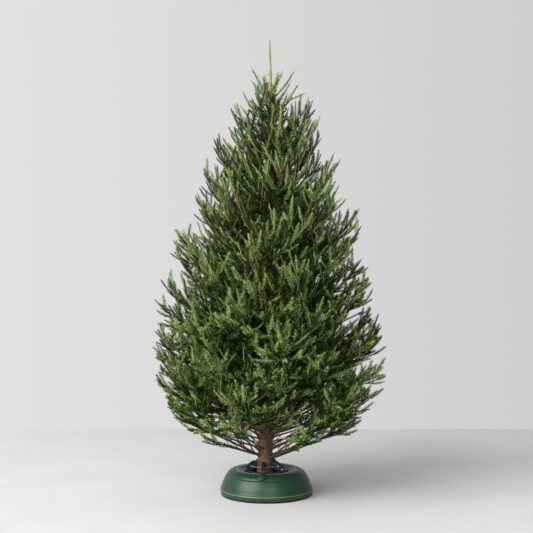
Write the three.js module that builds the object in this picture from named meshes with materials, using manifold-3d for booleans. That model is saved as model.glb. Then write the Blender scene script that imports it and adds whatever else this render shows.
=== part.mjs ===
// A cut spruce, set up as a Christmas tree in a round stand that holds its trunk with five claws.
// Millimetres, +Z up. The origin is the middle of the stand's flat underside, on the floor.
// The tree is one trunk, tiers of boughs that spring from it like the spokes of a wheel, and masses of
// foliage that carry the boughs on to the outline of the crown. Every mass grows by one seeded rule.
import * as THREE from "three";
import { mergeVertices } from "three/addons/utils/BufferGeometryUtils.js";
import Module from "manifold-3d";

const wasm = await Module();
wasm.setup();

// ---- Driving dimensions of the tree

const TREE_TOP = 2270; // tip of the leader above the floor
const TRUNK_FOOT = 12.3; // the flat saw cut, just above the floor of the stand's water bowl
const TRUNK_RADIUS = 39.5;
const TRUNK_TIP_RADIUS = 2.4;
const TRUNK_TAPER_POWER = 0.92; // under 1: it keeps its girth low down and thins faster near the tip
const BUTT_SWELL = 4; // extra radius at the cut
const BUTT_SWELL_HEIGHT = 70; // over which that swelling fades
const TRUNK_FOOT_X = -10; // the foot stands a little to the left of the middle of the stand
const TRUNK_LEAN = 25; // how far the tip stands to the right of the foot
const TRUNK_SWAY = 18; // how far the trunk bows to the right between them
const TRUNK_SWAY_POWER = 1.6; // over 1: the bow is greatest above the middle
const TRUNK_WAVE = 8; // how far it waves forward and back

const CROWN_RADIUS = 595; // the widest reach of the crown
const CROWN_WIDEST = 620; // the height of that reach
const CROWN_TAPER = 1690; // above it, the crown would close to a point in this height
const CROWN_TAPER_POWER = 1.6;
const CROWN_SKIRT_POWER = 1.7; // how the crown draws in below its widest reach
const CROWN_ALLOWANCE = 1.02; // the furthest tips may pass the crown's reach by this factor

const FIRST_TIER = 165; // where the lowest boughs leave the trunk, just over the stand's claws
const LAST_TIER = 1690; // where the highest boughs leave the trunk
const TIER_POWER = 1.25; // the tiers stand closer together near the foot
const TIER_TURN = 2.4; // from one tier to the next, in radians, so that no bough stands right over another
const LOWEST_TURN = 0.21; // the first tier is turned so that its boughs pass between the claws
const SPOKES = [5, 6, 5, 5, 5, 4, 4, 3]; // boughs in each tier, from the lowest
const RISE = [165, 245, 310, 345, 360, 355, 335, 280]; // height that a tier's boughs gain from trunk to tip
const RISE_STRAIGHT = 0.8; // the share of that rise that is even; the rest comes towards the tip
const SKIRT_DROP = 90; // how far the lowest foliage hangs below its boughs

const BOUGH_RADIUS = 8.5; // at the trunk, on the longest bough
const THINNEST_BOUGH = 0.42; // the share of that radius that the shortest bough would have
const BOUGH_TAPER = 0.78; // the share of its radius that a bough loses on the way to its tip
const BARE_SHARE = [0.5, 0.42]; // the lowest tiers' boughs are bare for this share of their length

const TWIGS = [6, 7, 7, 7, 7, 7, 6, 6]; // on each mass of a tier
const TWIG_LIFTS = [0.15, -0.25, 0.8, 0.5, -0.55, 1.2]; // how far they turn up from the side, by turns
const LONGEST_TWIG = 330;
const SHORTEST_TWIG = 60;
const TWIG_STEP = 0.88; // a twig with no room is tried again at this share of its length
const TWIGS_END = 0.9; // the share of a bough's length at which its last side twig leaves it
const LAST_TWIG_START = 0.68; // and that at which the twig starts that carries it on
const STEM_START = 0.02; // a stem that springs from the trunk starts at this share of its bough
const STEM_END = 0.86;
const SPRAY_HALF_WIDTH = 13; // of the shortest spray; each millimetre of length adds SPRAY_WIDENING
const SPRAY_WIDENING = 0.24;
const HEART_START = 0.17; // a heart lies between these two shares of its bough's length
const HEART_END = 0.84;
const HEART_PAST_BARE = 0.04; // and starts this far past the bare stretch
const HEART_FILL = 0.8; // the most of the room round its bough that it fills
const HEART_WIDTH = 175; // from the bough to the side of its heart, at most
const HEART_HEIGHT = 92; // and to its top or underside
const HEART_SHRINK = 0.85; // a corner of it with no room is drawn in by this factor, and tried again
const HEART_MARGIN = 9; // how far the heart keeps inside its mass's own space
const SPRAY_MARGIN = 2.5; // and how far the sprays do
const BOUGH_MARGIN = 6; // how far the sprays stay off a bare bough

const TOP_WHORL = 1955; // where the highest shoots leave the leader
const TOP_WHORL_SPREAD = 62; // the height over which they leave it
const TOP_SPACE_DROP = 40; // how far under that whorl its space starts at the trunk
const TOP_SPACE_SLOPE = 2.2; // and how steeply its floor rises away from the trunk
const TOP_SHOOTS = 8;
const TOP_SHOOT_LENGTHS = [130, 195];
const TOP_SHOOT_HALF_WIDTH = 16;
const LEADER_SPRAYS = 5; // small sprays up the leader above them
const LEADER_SPRAY_FOOT = TOP_WHORL + TOP_WHORL_SPREAD + 8;
const LEADER_SPRAY_STEP = 45;
const LEADER_SPRAY_LENGTH = 42;
const LEADER_SPRAY_HALF_WIDTH = 9;
const LEADER_SPRAY_SLOPE = 1.05; // in radians
const LEADER_SLEEVE = 9.5; // radius of the needles round the leader, at their foot
const SLEEVE_TAPER = 0.45; // the share of that radius that they lose on the way up
const SLEEVE_DROP = 15; // the needles start this far under the whorl
const BARE_TIP = 8; // the tip of the leader stands out of them by this much

const CLEARANCE = 0.3; // between pieces that touch

const UP = new THREE.Vector3(0, 0, 1);
const FULL_TURN = 2 * Math.PI;

// ---- Seeded chance: the same three whole numbers always give the same share from 0 to 1

function chance(a, b, c) {
  const wave = Math.sin(a * 12.9898 + b * 78.233 + c * 37.719 + 1.7) * 43758.5453;
  return wave - Math.floor(wave);
}

function spread(a, b, c, low, high) {
  return low + (high - low) * chance(a, b, c);
}

// ---- Solids: three.js geometry to manifold-3d and back

// Joins the copies of a corner that each face has, so that a geometry is one closed skin.
function weld(geometry) {
  const bare = geometry.clone();
  bare.deleteAttribute("normal");
  bare.deleteAttribute("uv");
  return mergeVertices(bare, 1e-3);
}

function solidFrom(geometry) {
  const skin = weld(geometry);
  return new wasm.Manifold(
    new wasm.Mesh({
      numProp: 3,
      vertProperties: new Float32Array(skin.attributes.position.array),
      triVerts: new Uint32Array(skin.index.array),
    }),
  );
}

function geometryFrom(solid) {
  const mesh = solid.getMesh();
  const geometry = new THREE.BufferGeometry();
  geometry.setAttribute("position", new THREE.BufferAttribute(mesh.vertProperties, 3));
  geometry.setIndex(new THREE.BufferAttribute(mesh.triVerts, 1));
  geometry.computeVertexNormals();
  return geometry;
}

// The largest of a solid's separate bodies, so that loose scraps are dropped.
function largestBody(solid) {
  return solid.decompose().reduce((best, body) => (body.volume() > best.volume() ? body : best));
}

// Welds a plain shape and moves each of its corners to its real place.
function movePoints(geometry, place) {
  const shape = weld(geometry);
  const position = shape.attributes.position;
  const point = new THREE.Vector3();
  for (let i = 0; i < position.count; i++) {
    point.fromBufferAttribute(position, i);
    place(point);
    position.setXYZ(i, point.x, point.y, point.z);
  }
  shape.computeVertexNormals();
  return shape;
}

// A round tapering rod, bent from a cylinder so that it follows the points that line(share) gives.
function rodAlong(line, radiusAt, { from, to, sides, rings }) {
  const rod = new THREE.CylinderGeometry(1, 1, 1, sides, rings);
  return movePoints(rod, (point) => {
    const share = from + (to - from) * (point.y + 0.5);
    const along = line(share + 0.01).sub(line(share - 0.01)).normalize();
    const side = new THREE.Vector3().crossVectors(UP, along);
    if (side.length() < 0.001) {
      side.set(1, 0, 0);
    }
    const back = side.normalize().clone().cross(along);
    const radius = radiusAt(share);
    const offset = side.multiplyScalar(point.x * radius).addScaledVector(back, point.z * radius);
    point.copy(line(share)).add(offset);
  });
}

// ---- Form of the trunk and the crown

function trunkX(z) {
  const share = Math.max(z, 0) / TREE_TOP;
  return TRUNK_FOOT_X + TRUNK_LEAN * share + TRUNK_SWAY * Math.sin(Math.PI * share ** TRUNK_SWAY_POWER);
}

const trunkY = (z) => TRUNK_WAVE * Math.sin((FULL_TURN * z) / TREE_TOP);

function trunkRadius(z) {
  const taper = (1 - Math.min(z, TREE_TOP) / TREE_TOP) ** TRUNK_TAPER_POWER;
  const swell = BUTT_SWELL * Math.exp(-z / BUTT_SWELL_HEIGHT);
  return TRUNK_TIP_RADIUS + (TRUNK_RADIUS - TRUNK_TIP_RADIUS) * taper + swell;
}

// Distance of a point from the middle of the trunk at its own height.
const distanceOut = (point) => Math.hypot(point.x - trunkX(point.z), point.y - trunkY(point.z));

// Reach of the crown at a height: widest low down, drawn in under that, and a bowed cone above it.
function crownRadius(z) {
  if (z < CROWN_WIDEST) {
    return CROWN_RADIUS * (1 - Math.min(1, 1 - z / CROWN_WIDEST) ** CROWN_SKIRT_POWER);
  }
  const up = Math.min(1, (z - CROWN_WIDEST) / CROWN_TAPER);
  return CROWN_RADIUS * (1 - up ** CROWN_TAPER_POWER);
}

// A tier's boughs leave the trunk at `base` and reach the crown's outline at `tip`.
const tiers = SPOKES.map((spokes, level) => {
  const share = level / (SPOKES.length - 1);
  const base = FIRST_TIER + (LAST_TIER - FIRST_TIER) * share ** TIER_POWER;
  const tip = base + RISE[level];
  const turn = level === 0 ? LOWEST_TURN : level * TIER_TURN;
  return { level, spokes, base, tip, reach: crownRadius(tip), turn };
});

// Height at which a tier lies, at a distance from the trunk. Over the last tier stands the top whorl.
function tierHeight(level, distance) {
  if (level >= tiers.length) {
    return TOP_WHORL - TOP_SPACE_DROP + distance * TOP_SPACE_SLOPE;
  }
  const { base, tip, reach } = tiers[level];
  const share = distance / reach;
  return base + (tip - base) * (RISE_STRAIGHT * share + (1 - RISE_STRAIGHT) * share * share);
}

// A tier's own space lies between these two heights: half way to the tier below, and to the one above.
function tierFloor(level, distance) {
  return level === 0
    ? tierHeight(0, distance) - SKIRT_DROP
    : (tierHeight(level - 1, distance) + tierHeight(level, distance)) / 2;
}

const tierCeiling = (level, distance) => tierFloor(level + 1, distance);

// ---- Trunk, and the same shape grown by the clearance, which is cut out of whatever meets the trunk

function trunkGeometry(extra) {
  const trunk = new THREE.CylinderGeometry(1, 1, 1, 10, 20);
  return movePoints(trunk, (point) => {
    const z = TRUNK_FOOT + (TREE_TOP - TRUNK_FOOT) * (point.y + 0.5);
    const radius = trunkRadius(z) + extra;
    point.set(trunkX(z) + point.x * radius, trunkY(z) - point.z * radius, z);
  });
}

const trunkRoom = solidFrom(trunkGeometry(CLEARANCE));

// ---- Boughs

const outward = (turn) => new THREE.Vector3(Math.cos(turn), Math.sin(turn), 0);

// One bough, with its seeded differences from the others. `spaceTurn` is the middle of its mass's space.
function boughOf(tier, spoke) {
  const key = tier.level * 10 + spoke;
  const step = FULL_TURN / tier.spokes;
  const base = tier.base + spread(key, 0, 2, -8, 22);
  const tip = tier.tip + spread(key, 0, 3, -22, 22);
  const reach = crownRadius(tip) * spread(key, 0, 4, 0.93, 1);
  return {
    key,
    tier,
    base,
    tip,
    reach,
    spaceTurn: tier.turn + spoke * step,
    turn: tier.turn + (spoke + spread(key, 0, 1, -0.12, 0.12)) * step,
    bare: BARE_SHARE[tier.level] ?? 0,
    straightness: spread(key, 0, 5, 0.55, 1),
    sway: spread(key, 0, 6, -16, 16),
    radius: BOUGH_RADIUS * (THINNEST_BOUGH + ((1 - THINNEST_BOUGH) * reach) / CROWN_RADIUS),
  };
}

// A point on a bough, from the middle of the trunk at share 0 to the outline of the crown at share 1.
function boughPoint(bough, share) {
  const out = outward(bough.turn);
  const across = new THREE.Vector3().crossVectors(UP, out);
  const lift = bough.straightness * share + (1 - bough.straightness) * share * share;
  return new THREE.Vector3(trunkX(bough.base), trunkY(bough.base), bough.base)
    .addScaledVector(UP, (bough.tip - bough.base) * lift)
    .addScaledVector(out, bough.reach * share)
    .addScaledVector(across, bough.sway * Math.sin(Math.PI * share));
}

const boughRadius = (bough, share) => bough.radius * (1 - BOUGH_TAPER * share);

// The stretch of a bough from one share of its length to another, as one tapering limb.
function limbGeometry(bough, stretch) {
  const line = (share) => boughPoint(bough, share);
  return rodAlong(line, (share) => boughRadius(bough, share), { sides: 5, ...stretch });
}

// A limb or mass ends this share of its bough's length short of the other, so that they just don't touch.
const endGap = (bough) => (0.5 * CLEARANCE) / bough.reach;

function bareBough(bough) {
  const limb = solidFrom(limbGeometry(bough, { from: 0.01, to: bough.bare - endGap(bough), rings: 4 }));
  return largestBody(limb.subtract(trunkRoom));
}

// ---- Sprays of needles

// A spray is one shoot with a side shoot on each flank: a flat blade with three points, thick in the middle.
// Each corner of its outline is a share along the blade and a share of its half width.
const SPRAY_OUTLINE = [
  [0, 0],
  [0.66, 1],
  [0.6, 0.3],
  [1, 0],
  [0.6, -0.3],
  [0.66, -1],
];
const SPRAY_MIDDLE = 0.42; // where along the blade it is thickest
const SPRAY_THICKNESS = 0.3; // from its middle plane to its top, as a share of its half width

// Gives the place of a spray's corners: shares along it, across it, and over its middle plane.
function sprayFrame(root, direction, length, halfWidth, roll) {
  const side = new THREE.Vector3().crossVectors(direction, UP).normalize().applyAxisAngle(direction, roll);
  const over = new THREE.Vector3().crossVectors(side, direction);
  return (along, wide, high) =>
    root
      .clone()
      .addScaledVector(direction, along * length)
      .addScaledVector(side, wide * halfWidth)
      .addScaledVector(over, high * halfWidth);
}

// A sphere with two poles and one ring of corners takes the spray's outline on its ring.
function spraySolid(corner) {
  const count = SPRAY_OUTLINE.length;
  const ball = new THREE.SphereGeometry(1, count, 2);
  const blade = movePoints(ball, (point) => {
    if (Math.abs(point.y) > 0.5) {
      point.copy(corner(SPRAY_MIDDLE, 0, Math.sign(point.y) * SPRAY_THICKNESS));
      return;
    }
    const turn = Math.atan2(point.z, -point.x) / FULL_TURN;
    const [along, wide] = SPRAY_OUTLINE[(Math.round(turn * count) + count) % count];
    point.copy(corner(along, wide, 0));
  });
  return solidFrom(blade);
}

// The furthest points of a spray, which have to stay in the mass's own space.
function sprayTips(corner) {
  const tips = SPRAY_OUTLINE.slice(1).map(([along, wide]) => corner(along, wide, 0));
  return [...tips, corner(SPRAY_MIDDLE, 0, SPRAY_THICKNESS), corner(SPRAY_MIDDLE, 0, -SPRAY_THICKNESS)];
}

// ---- Masses of foliage

// Whether a point lies in the space that belongs to one bough: a wedge of the crown, round the trunk,
// between the floor and the ceiling of the bough's tier.
function inSpace(bough, point, margin) {
  const { level, spokes } = bough.tier;
  const distance = distanceOut(point);
  const turn = Math.atan2(point.y - trunkY(point.z), point.x - trunkX(point.z)) - bough.spaceTurn;
  const offset = Math.abs(Math.atan2(Math.sin(turn), Math.cos(turn)));
  const sideRoom = distance * Math.sin(Math.max(0, Math.PI / spokes - offset));
  return (
    sideRoom > margin &&
    distance > trunkRadius(point.z) + margin &&
    distance < crownRadius(point.z) * CROWN_ALLOWANCE &&
    point.z > tierFloor(level, distance) + margin &&
    point.z < tierCeiling(level, distance) - margin
  );
}

// Whether a point is well off the bare stretch of a bough.
function clearOfLimb(bough, point) {
  for (let share = 0; share < bough.bare; share += 0.02) {
    const room = boughRadius(bough, share) + BOUGH_MARGIN;
    if (boughPoint(bough, share).distanceTo(point) < room) {
      return false;
    }
  }
  return true;
}

// The dense heart of a mass: a lumpy solid along the bough, drawn in wherever it would leave its space.
function heartSolid(bough, from, to) {
  const { level } = bough.tier;
  const across = new THREE.Vector3().crossVectors(outward(bough.spaceTurn), UP);
  const heart = movePoints(new THREE.SphereGeometry(1, 6, 4), (point) => {
    const share = from + ((to - from) * (point.y + 1)) / 2;
    const middle = boughPoint(bough, share);
    const distance = distanceOut(middle);
    const room =
      point.z > 0 ? tierCeiling(level, distance) - middle.z : middle.z - tierFloor(level, distance);
    const wide = Math.min(HEART_FILL * distance, HEART_WIDTH) * point.x;
    const high = Math.min(HEART_FILL * room, HEART_HEIGHT) * point.z;
    const bearing = Math.round(Math.atan2(point.z, point.x));
    let fullness = spread(bough.key, Math.round(share * 30), bearing, 0.55, 1.12);
    do {
      point.copy(middle).addScaledVector(across, wide * fullness).addScaledVector(UP, high * fullness);
      fullness *= HEART_SHRINK;
    } while (fullness > 0.1 && !inSpace(bough, point, HEART_MARGIN));
  });
  return solidFrom(heart);
}

// Twigs leave a bough by turns to its left and right, some lifted and some dropped, up to its tip.
function twigsOf(bough, from) {
  const count = TWIGS[bough.tier.level];
  const across = new THREE.Vector3().crossVectors(UP, outward(bough.turn));
  const twigs = [];
  for (let i = 0; i < count; i++) {
    const share = from + (TWIGS_END - from) * ((i + 0.4 + spread(bough.key, i, 11, -0.3, 0.3)) / count);
    const root = boughPoint(bough, share);
    const along = boughPoint(bough, share + 0.01).sub(root).normalize();
    const over = new THREE.Vector3().crossVectors(along, across).normalize();
    const side = i % 2 === 0 ? 1 : -1;
    const lift = TWIG_LIFTS[i % TWIG_LIFTS.length] + spread(bough.key, i, 12, -0.15, 0.15);
    const away = spread(bough.key, i, 13, 0.6, 0.95);
    const direction = along
      .multiplyScalar(Math.cos(away))
      .addScaledVector(across, side * Math.cos(lift) * Math.sin(away))
      .addScaledVector(over, Math.sin(lift) * Math.sin(away))
      .normalize();
    twigs.push({ root, direction, roll: spread(bough.key, i, 15, -0.7, 0.7) });
  }
  return twigs;
}

// The twig that carries a bough on to its tip.
function lastTwig(bough) {
  const root = boughPoint(bough, LAST_TWIG_START);
  return { root, direction: boughPoint(bough, 1).sub(root).normalize(), roll: 0.3 };
}

// A twig grows as long as its mass's own space lets it. One that has no room is left out.
function growTwig(bough, { root, direction, roll }) {
  for (let length = LONGEST_TWIG; length > SHORTEST_TWIG; length *= TWIG_STEP) {
    const halfWidth = SPRAY_HALF_WIDTH + SPRAY_WIDENING * length;
    const corner = sprayFrame(root, direction, length, halfWidth, roll);
    const fits = (tip) => inSpace(bough, tip, SPRAY_MARGIN) && clearOfLimb(bough, tip);
    if (sprayTips(corner).every(fits)) {
      return [spraySolid(corner)];
    }
  }
  return [];
}

// One mass: a stem that goes on from the bough or springs from the trunk, its heart, and its twigs.
function massOf(bough) {
  const stemStart = bough.bare === 0 ? STEM_START : bough.bare + endGap(bough);
  const heartStart = Math.max(bough.bare + HEART_PAST_BARE, HEART_START);
  const twigs = [lastTwig(bough), ...twigsOf(bough, heartStart)];
  const mass = wasm.Manifold.union([
    solidFrom(limbGeometry(bough, { from: stemStart, to: STEM_END, rings: 3 })),
    heartSolid(bough, heartStart, HEART_END),
    ...twigs.flatMap((twig) => growTwig(bough, twig)),
  ]);
  return largestBody(mass.subtract(trunkRoom));
}

// A direction that points away from the trunk and rises by an angle.
const risingFrom = (turn, slope) =>
  outward(turn).multiplyScalar(Math.cos(slope)).addScaledVector(UP, Math.sin(slope));

// The top of the tree: a sleeve of needles round the leader, its small sprays, and its highest whorl.
function topMass() {
  const leader = (z) => new THREE.Vector3(trunkX(z), trunkY(z), z);
  const foot = TOP_WHORL - SLEEVE_DROP;
  const head = TREE_TOP - BARE_TIP;
  const line = (share) => leader(foot + (head - foot) * share);
  const thickness = (share) => LEADER_SLEEVE * (1 - SLEEVE_TAPER * share);
  const solids = [solidFrom(rodAlong(line, thickness, { from: 0, to: 1, sides: 6, rings: 5 }))];
  for (let i = 0; i < TOP_SHOOTS; i++) {
    const root = leader(spread(i, 3, 21, TOP_WHORL, TOP_WHORL + TOP_WHORL_SPREAD));
    const turn = 0.5 + (i * FULL_TURN) / TOP_SHOOTS + spread(i, 4, 22, -0.2, 0.2);
    const slope = spread(i, 5, 23, 0.75, 1.1);
    const direction = risingFrom(turn, slope);
    const length = spread(i, 6, 24, ...TOP_SHOOT_LENGTHS);
    const roll = spread(i, 7, 25, -1, 1);
    solids.push(spraySolid(sprayFrame(root, direction, length, TOP_SHOOT_HALF_WIDTH, roll)));
  }
  for (let i = 0; i < LEADER_SPRAYS; i++) {
    const root = leader(LEADER_SPRAY_FOOT + i * LEADER_SPRAY_STEP);
    const direction = risingFrom(i * TIER_TURN, LEADER_SPRAY_SLOPE);
    solids.push(
      spraySolid(sprayFrame(root, direction, LEADER_SPRAY_LENGTH, LEADER_SPRAY_HALF_WIDTH, 0)),
    );
  }
  return largestBody(wasm.Manifold.union(solids).subtract(trunkRoom));
}

// ---- Stand: a round bowl on the floor, with the claw ring in its mouth

const BOWL_SIDES = 32;
const BOWL_BASE_RADIUS = 220; // the flat underside, inside the foot band
const BOWL_FLOOR = TRUNK_FOOT - CLEARANCE; // the inside of the bowl's floor
const MOUTH_RADIUS = 101;
const DECK_HEIGHT = 119; // top of the bowl at its mouth
const SHOULDER_RADIUS = 158; // the ring where the bowl is highest
const SHOULDER_HEIGHT = 126;
const WALL = 4.5;

// A ring or bowl, turned about the upright axis from pairs of radius and height.
function turned(profile) {
  const points = profile.map(([radius, height]) => new THREE.Vector2(radius, height));
  return new THREE.LatheGeometry(points, BOWL_SIDES).rotateX(Math.PI / 2);
}

// The bowl's side, from the floor up to the crease under its shoulder.
const BOWL_SIDE = [
  [BOWL_BASE_RADIUS, 0],
  [BOWL_BASE_RADIUS, 5],
  [228.5, 9],
  [231, 20],
  [228, 36],
  [214, 72],
  [202, 96],
];

// Its shoulder and deck, from that crease to the mouth.
const BOWL_DECK = [
  [196, 102],
  [189, 113],
  [175, 122],
  [SHOULDER_RADIUS, SHOULDER_HEIGHT],
  [140, SHOULDER_HEIGHT - 1],
  [118, DECK_HEIGHT],
  [MOUTH_RADIUS, DECK_HEIGHT],
];

const BOWL_INSIDE = [
  [MOUTH_RADIUS, DECK_HEIGHT - 4 * WALL],
  [MOUTH_RADIUS + WALL, DECK_HEIGHT - 4 * WALL],
  [MOUTH_RADIUS + WALL, DECK_HEIGHT - WALL],
  [140, SHOULDER_HEIGHT - 1 - WALL],
  [SHOULDER_RADIUS, SHOULDER_HEIGHT - WALL],
  [184, 110],
  [209, 70],
  [223, 34],
  [222, 18],
  [212, BOWL_FLOOR],
];

function bowl() {
  return turned([[0, 0], ...BOWL_SIDE, ...BOWL_DECK, ...BOWL_INSIDE, [0, BOWL_FLOOR]]);
}

const BAND_WIDTH = 6;
const BAND_HEIGHT = 4.2;
const BAND_FLARE = 1; // how much wider it is at its top

// A rubber band round the bowl's foot, flush with its underside.
function footBand() {
  const inner = BOWL_BASE_RADIUS + 2 * CLEARANCE;
  const outer = inner + BAND_WIDTH;
  return turned([
    [inner, 0],
    [outer, 0],
    [outer + BAND_FLARE, BAND_HEIGHT],
    [inner, BAND_HEIGHT],
    [inner, 0],
  ]);
}

// ---- Claw ring: its flange lies on the bowl's deck and its neck hangs in the mouth

const RING_INNER = 86;
const RING_OUTER = 110;
const RING_FOOT = DECK_HEIGHT + CLEARANCE;
const RING_TOP = RING_FOOT + 4; // the flange is 4 thick
const NECK_DEPTH = 31;

function clawRing() {
  const neck = MOUTH_RADIUS - 2 * CLEARANCE;
  return turned([
    [RING_INNER, RING_FOOT - NECK_DEPTH],
    [neck, RING_FOOT - NECK_DEPTH],
    [neck, RING_FOOT],
    [RING_OUTER, RING_FOOT],
    [RING_OUTER, RING_TOP],
    [RING_INNER, RING_TOP],
    [RING_INNER, RING_FOOT - NECK_DEPTH],
  ]);
}

// ---- Claws, and the cable that draws them against the trunk

const CLAWS = 5;
const CLAW_WIDTH = 17;
const CLAW_TOP = 167;
const CLAW_HEEL = 64; // from the trunk's axis to the front of a claw's foot, which juts over the mouth
const CLAW_OUTER = 104; // from the trunk's axis to the back of a claw's foot
const CLAW_STEP = FULL_TURN / CLAWS;
const CLAW_TURN = -Math.PI / 2 - 0.105; // the first claw stands a little to the left of the front
const CABLE_HEIGHT = 140;
const CABLE_RADIUS = 1.8;
const CABLE_REACH = 74; // from the trunk's axis to the cable's bend at each claw
const CABLE_BEND = 1.5; // how far that bend is rounded off
const CLAW_AXIS = new THREE.Vector3(trunkX(CABLE_HEIGHT), trunkY(CABLE_HEIGHT), 0);

// A claw seen from the side, as distance from the trunk's axis and height: a fin that leans in and grips.
function clawOutline() {
  const foot = RING_TOP + CLEARANCE;
  const grip = trunkRadius(CABLE_HEIGHT) + CLEARANCE;
  const outline = new THREE.Shape();
  outline.moveTo(CLAW_HEEL, foot);
  outline.lineTo(CLAW_OUTER, foot);
  outline.quadraticCurveTo(CLAW_OUTER - 3, 136, 86, 147);
  outline.quadraticCurveTo(70, CLAW_TOP, 52, CLAW_TOP);
  outline.lineTo(44, CLAW_TOP - 3);
  outline.lineTo(grip, CLAW_TOP - 10);
  outline.lineTo(grip, CLAW_TOP - 22);
  outline.quadraticCurveTo(52, 134, CLAW_HEEL, foot);
  return outline;
}

// Distance from the axis to the cable: straight from claw to claw, with a small bend at each.
function cableDistance(turn) {
  const offset = Math.abs(turn - CLAW_STEP * Math.round(turn / CLAW_STEP));
  const straight = (CABLE_REACH * Math.cos(CLAW_STEP / 2)) / Math.cos(CLAW_STEP / 2 - offset);
  return Math.min(straight, CABLE_REACH - CABLE_BEND);
}

function cable(radius) {
  const ring = new THREE.TorusGeometry(CABLE_REACH, radius, 5, CLAWS * 6);
  return movePoints(ring, (point) => {
    const turn = Math.atan2(point.y, point.x);
    const distance = Math.hypot(point.x, point.y) - CABLE_REACH + cableDistance(turn);
    const height = CABLE_HEIGHT + point.z;
    point.copy(outward(turn + CLAW_TURN)).multiplyScalar(distance).add(CLAW_AXIS).setZ(height);
  });
}

function claw(index) {
  const plate = { depth: CLAW_WIDTH, bevelEnabled: false, curveSegments: 4 };
  const blank = new THREE.ExtrudeGeometry(clawOutline(), plate)
    .translate(0, 0, -CLAW_WIDTH / 2)
    .rotateX(Math.PI / 2)
    .rotateZ(CLAW_TURN + index * CLAW_STEP)
    .translate(CLAW_AXIS.x, CLAW_AXIS.y, 0);
  const groove = solidFrom(cable(CABLE_RADIUS + CLEARANCE));
  return largestBody(solidFrom(blank).subtract(groove).subtract(trunkRoom));
}

// ---- Pedal: a bar that lies along the deck from the claw ring to the shoulder, with a round pad on its end

const PEDAL_TURN = -Math.PI / 2 - 0.12; // it points to the front, a little to the left
const PEDAL_WIDTH = 24;
const PEDAL_THICKNESS = 8;
const PEDAL_START = RING_OUTER + 2.5; // from the stand's axis
const PAD_DISTANCE = 196;
const PAD_HEIGHT = 118;
const PAD_SLOPE = 0.75; // how far the pad leans over the shoulder, in radians
const PAD_HALF_SIZE = [0.55 * PEDAL_WIDTH, 0.7 * PEDAL_WIDTH, 6]; // along the bar, across it, and up
const PEDAL_SINK = 1; // the bar is drawn this far into the deck, and the deck is then cut out of it
const BOWL_MIDDLE = [140, 60]; // a point inside the bowl, from which its deck is moved out and in

// The deck moved out of the bowl by a distance, from the crease inwards.
function deckMoved(distance) {
  const inside = new THREE.Vector2(...BOWL_MIDDLE);
  return BOWL_DECK.map(([radius, height]) => {
    const way = new THREE.Vector2(radius, height).sub(inside);
    const point = way.setLength(way.length() + distance).add(inside);
    return [point.x, point.y];
  });
}

function pedal() {
  const start = ([radius, height]) => [Math.max(radius, PEDAL_START), height];
  const over = deckMoved(PEDAL_THICKNESS).slice(0, -1).map(start);
  const under = deckMoved(-PEDAL_SINK).slice(0, -1).map(start);
  const outline = [...over, ...under.reverse()].map(([radius, height]) => new THREE.Vector2(radius, height));
  const bar = new THREE.ExtrudeGeometry(new THREE.Shape(outline), { depth: PEDAL_WIDTH, bevelEnabled: false })
    .translate(0, 0, -PEDAL_WIDTH / 2)
    .rotateX(Math.PI / 2);
  const pad = new THREE.SphereGeometry(1, 12, 6)
    .rotateX(Math.PI / 2)
    .scale(...PAD_HALF_SIZE)
    .rotateY(PAD_SLOPE)
    .translate(PAD_DISTANCE, 0, PAD_HEIGHT);
  const foot = BOWL_MIDDLE[1];
  const side = [BOWL_BASE_RADIUS, DECK_HEIGHT - WALL * 6];
  const bowlRoom = solidFrom(turned([[0, foot], side, ...deckMoved(CLEARANCE), [0, DECK_HEIGHT]]));
  const whole = wasm.Manifold.union([solidFrom(bar), solidFrom(pad)]);
  const inPlace = whole.rotate([0, 0, THREE.MathUtils.radToDeg(PEDAL_TURN)]);
  return largestBody(inPlace.subtract(bowlRoom));
}

// ---- Materials and assembly

const finish = (color, roughness, metalness = 0) =>
  new THREE.MeshStandardMaterial({ color, roughness, metalness });

const bark = finish(0x5b4634, 0.9);
const needles = [finish(0x3f5426, 0.75), finish(0x47602b, 0.75), finish(0x52683a, 0.75)];
const greenPlastic = finish(0x2f5a45, 0.35);
const blackPlastic = finish(0x17181a, 0.5);
const rubber = finish(0x101211, 0.8);
const steel = finish(0xa9adb0, 0.35, 1);

const tree = new THREE.Group();

function add(name, geometry, material) {
  const mesh = new THREE.Mesh(geometry, material);
  mesh.name = name;
  tree.add(mesh);
}

add("stand_bowl", bowl(), greenPlastic);
add("stand_foot_band", footBand(), rubber);
add("claw_ring", clawRing(), blackPlastic);
for (let i = 0; i < CLAWS; i++) {
  add(`claw_${i + 1}`, geometryFrom(claw(i)), blackPlastic);
}
add("claw_cable", cable(CABLE_RADIUS), steel);
add("stand_pedal", geometryFrom(pedal()), greenPlastic);

add("trunk", trunkGeometry(0), bark);
for (const tier of tiers) {
  for (let spoke = 0; spoke < tier.spokes; spoke++) {
    const bough = boughOf(tier, spoke);
    const place = `${tier.level + 1}_${spoke + 1}`;
    if (bough.bare > 0) {
      add(`bough_${place}`, geometryFrom(bareBough(bough)), bark);
    }
    const tint = needles[(tier.level + spoke) % needles.length];
    add(`foliage_${place}`, geometryFrom(massOf(bough)), tint);
  }
}
add("foliage_top", geometryFrom(topMass()), needles[2]);

export default tree;
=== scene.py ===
# %% [markdown]
# # A cut spruce in its stand
# This lesson dresses a plain model of a Christmas tree: a trunk with bark, boughs, over four thousand
# shoots with their needles, and the round green stand that holds it. Everything is in metres, with the
# floor at height 0, and every piece is placed from the frame or from the tree's own form.

# %% The frame
import math

import bmesh
import bpy
import numpy as np
from mathutils import Matrix, Vector, noise


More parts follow.
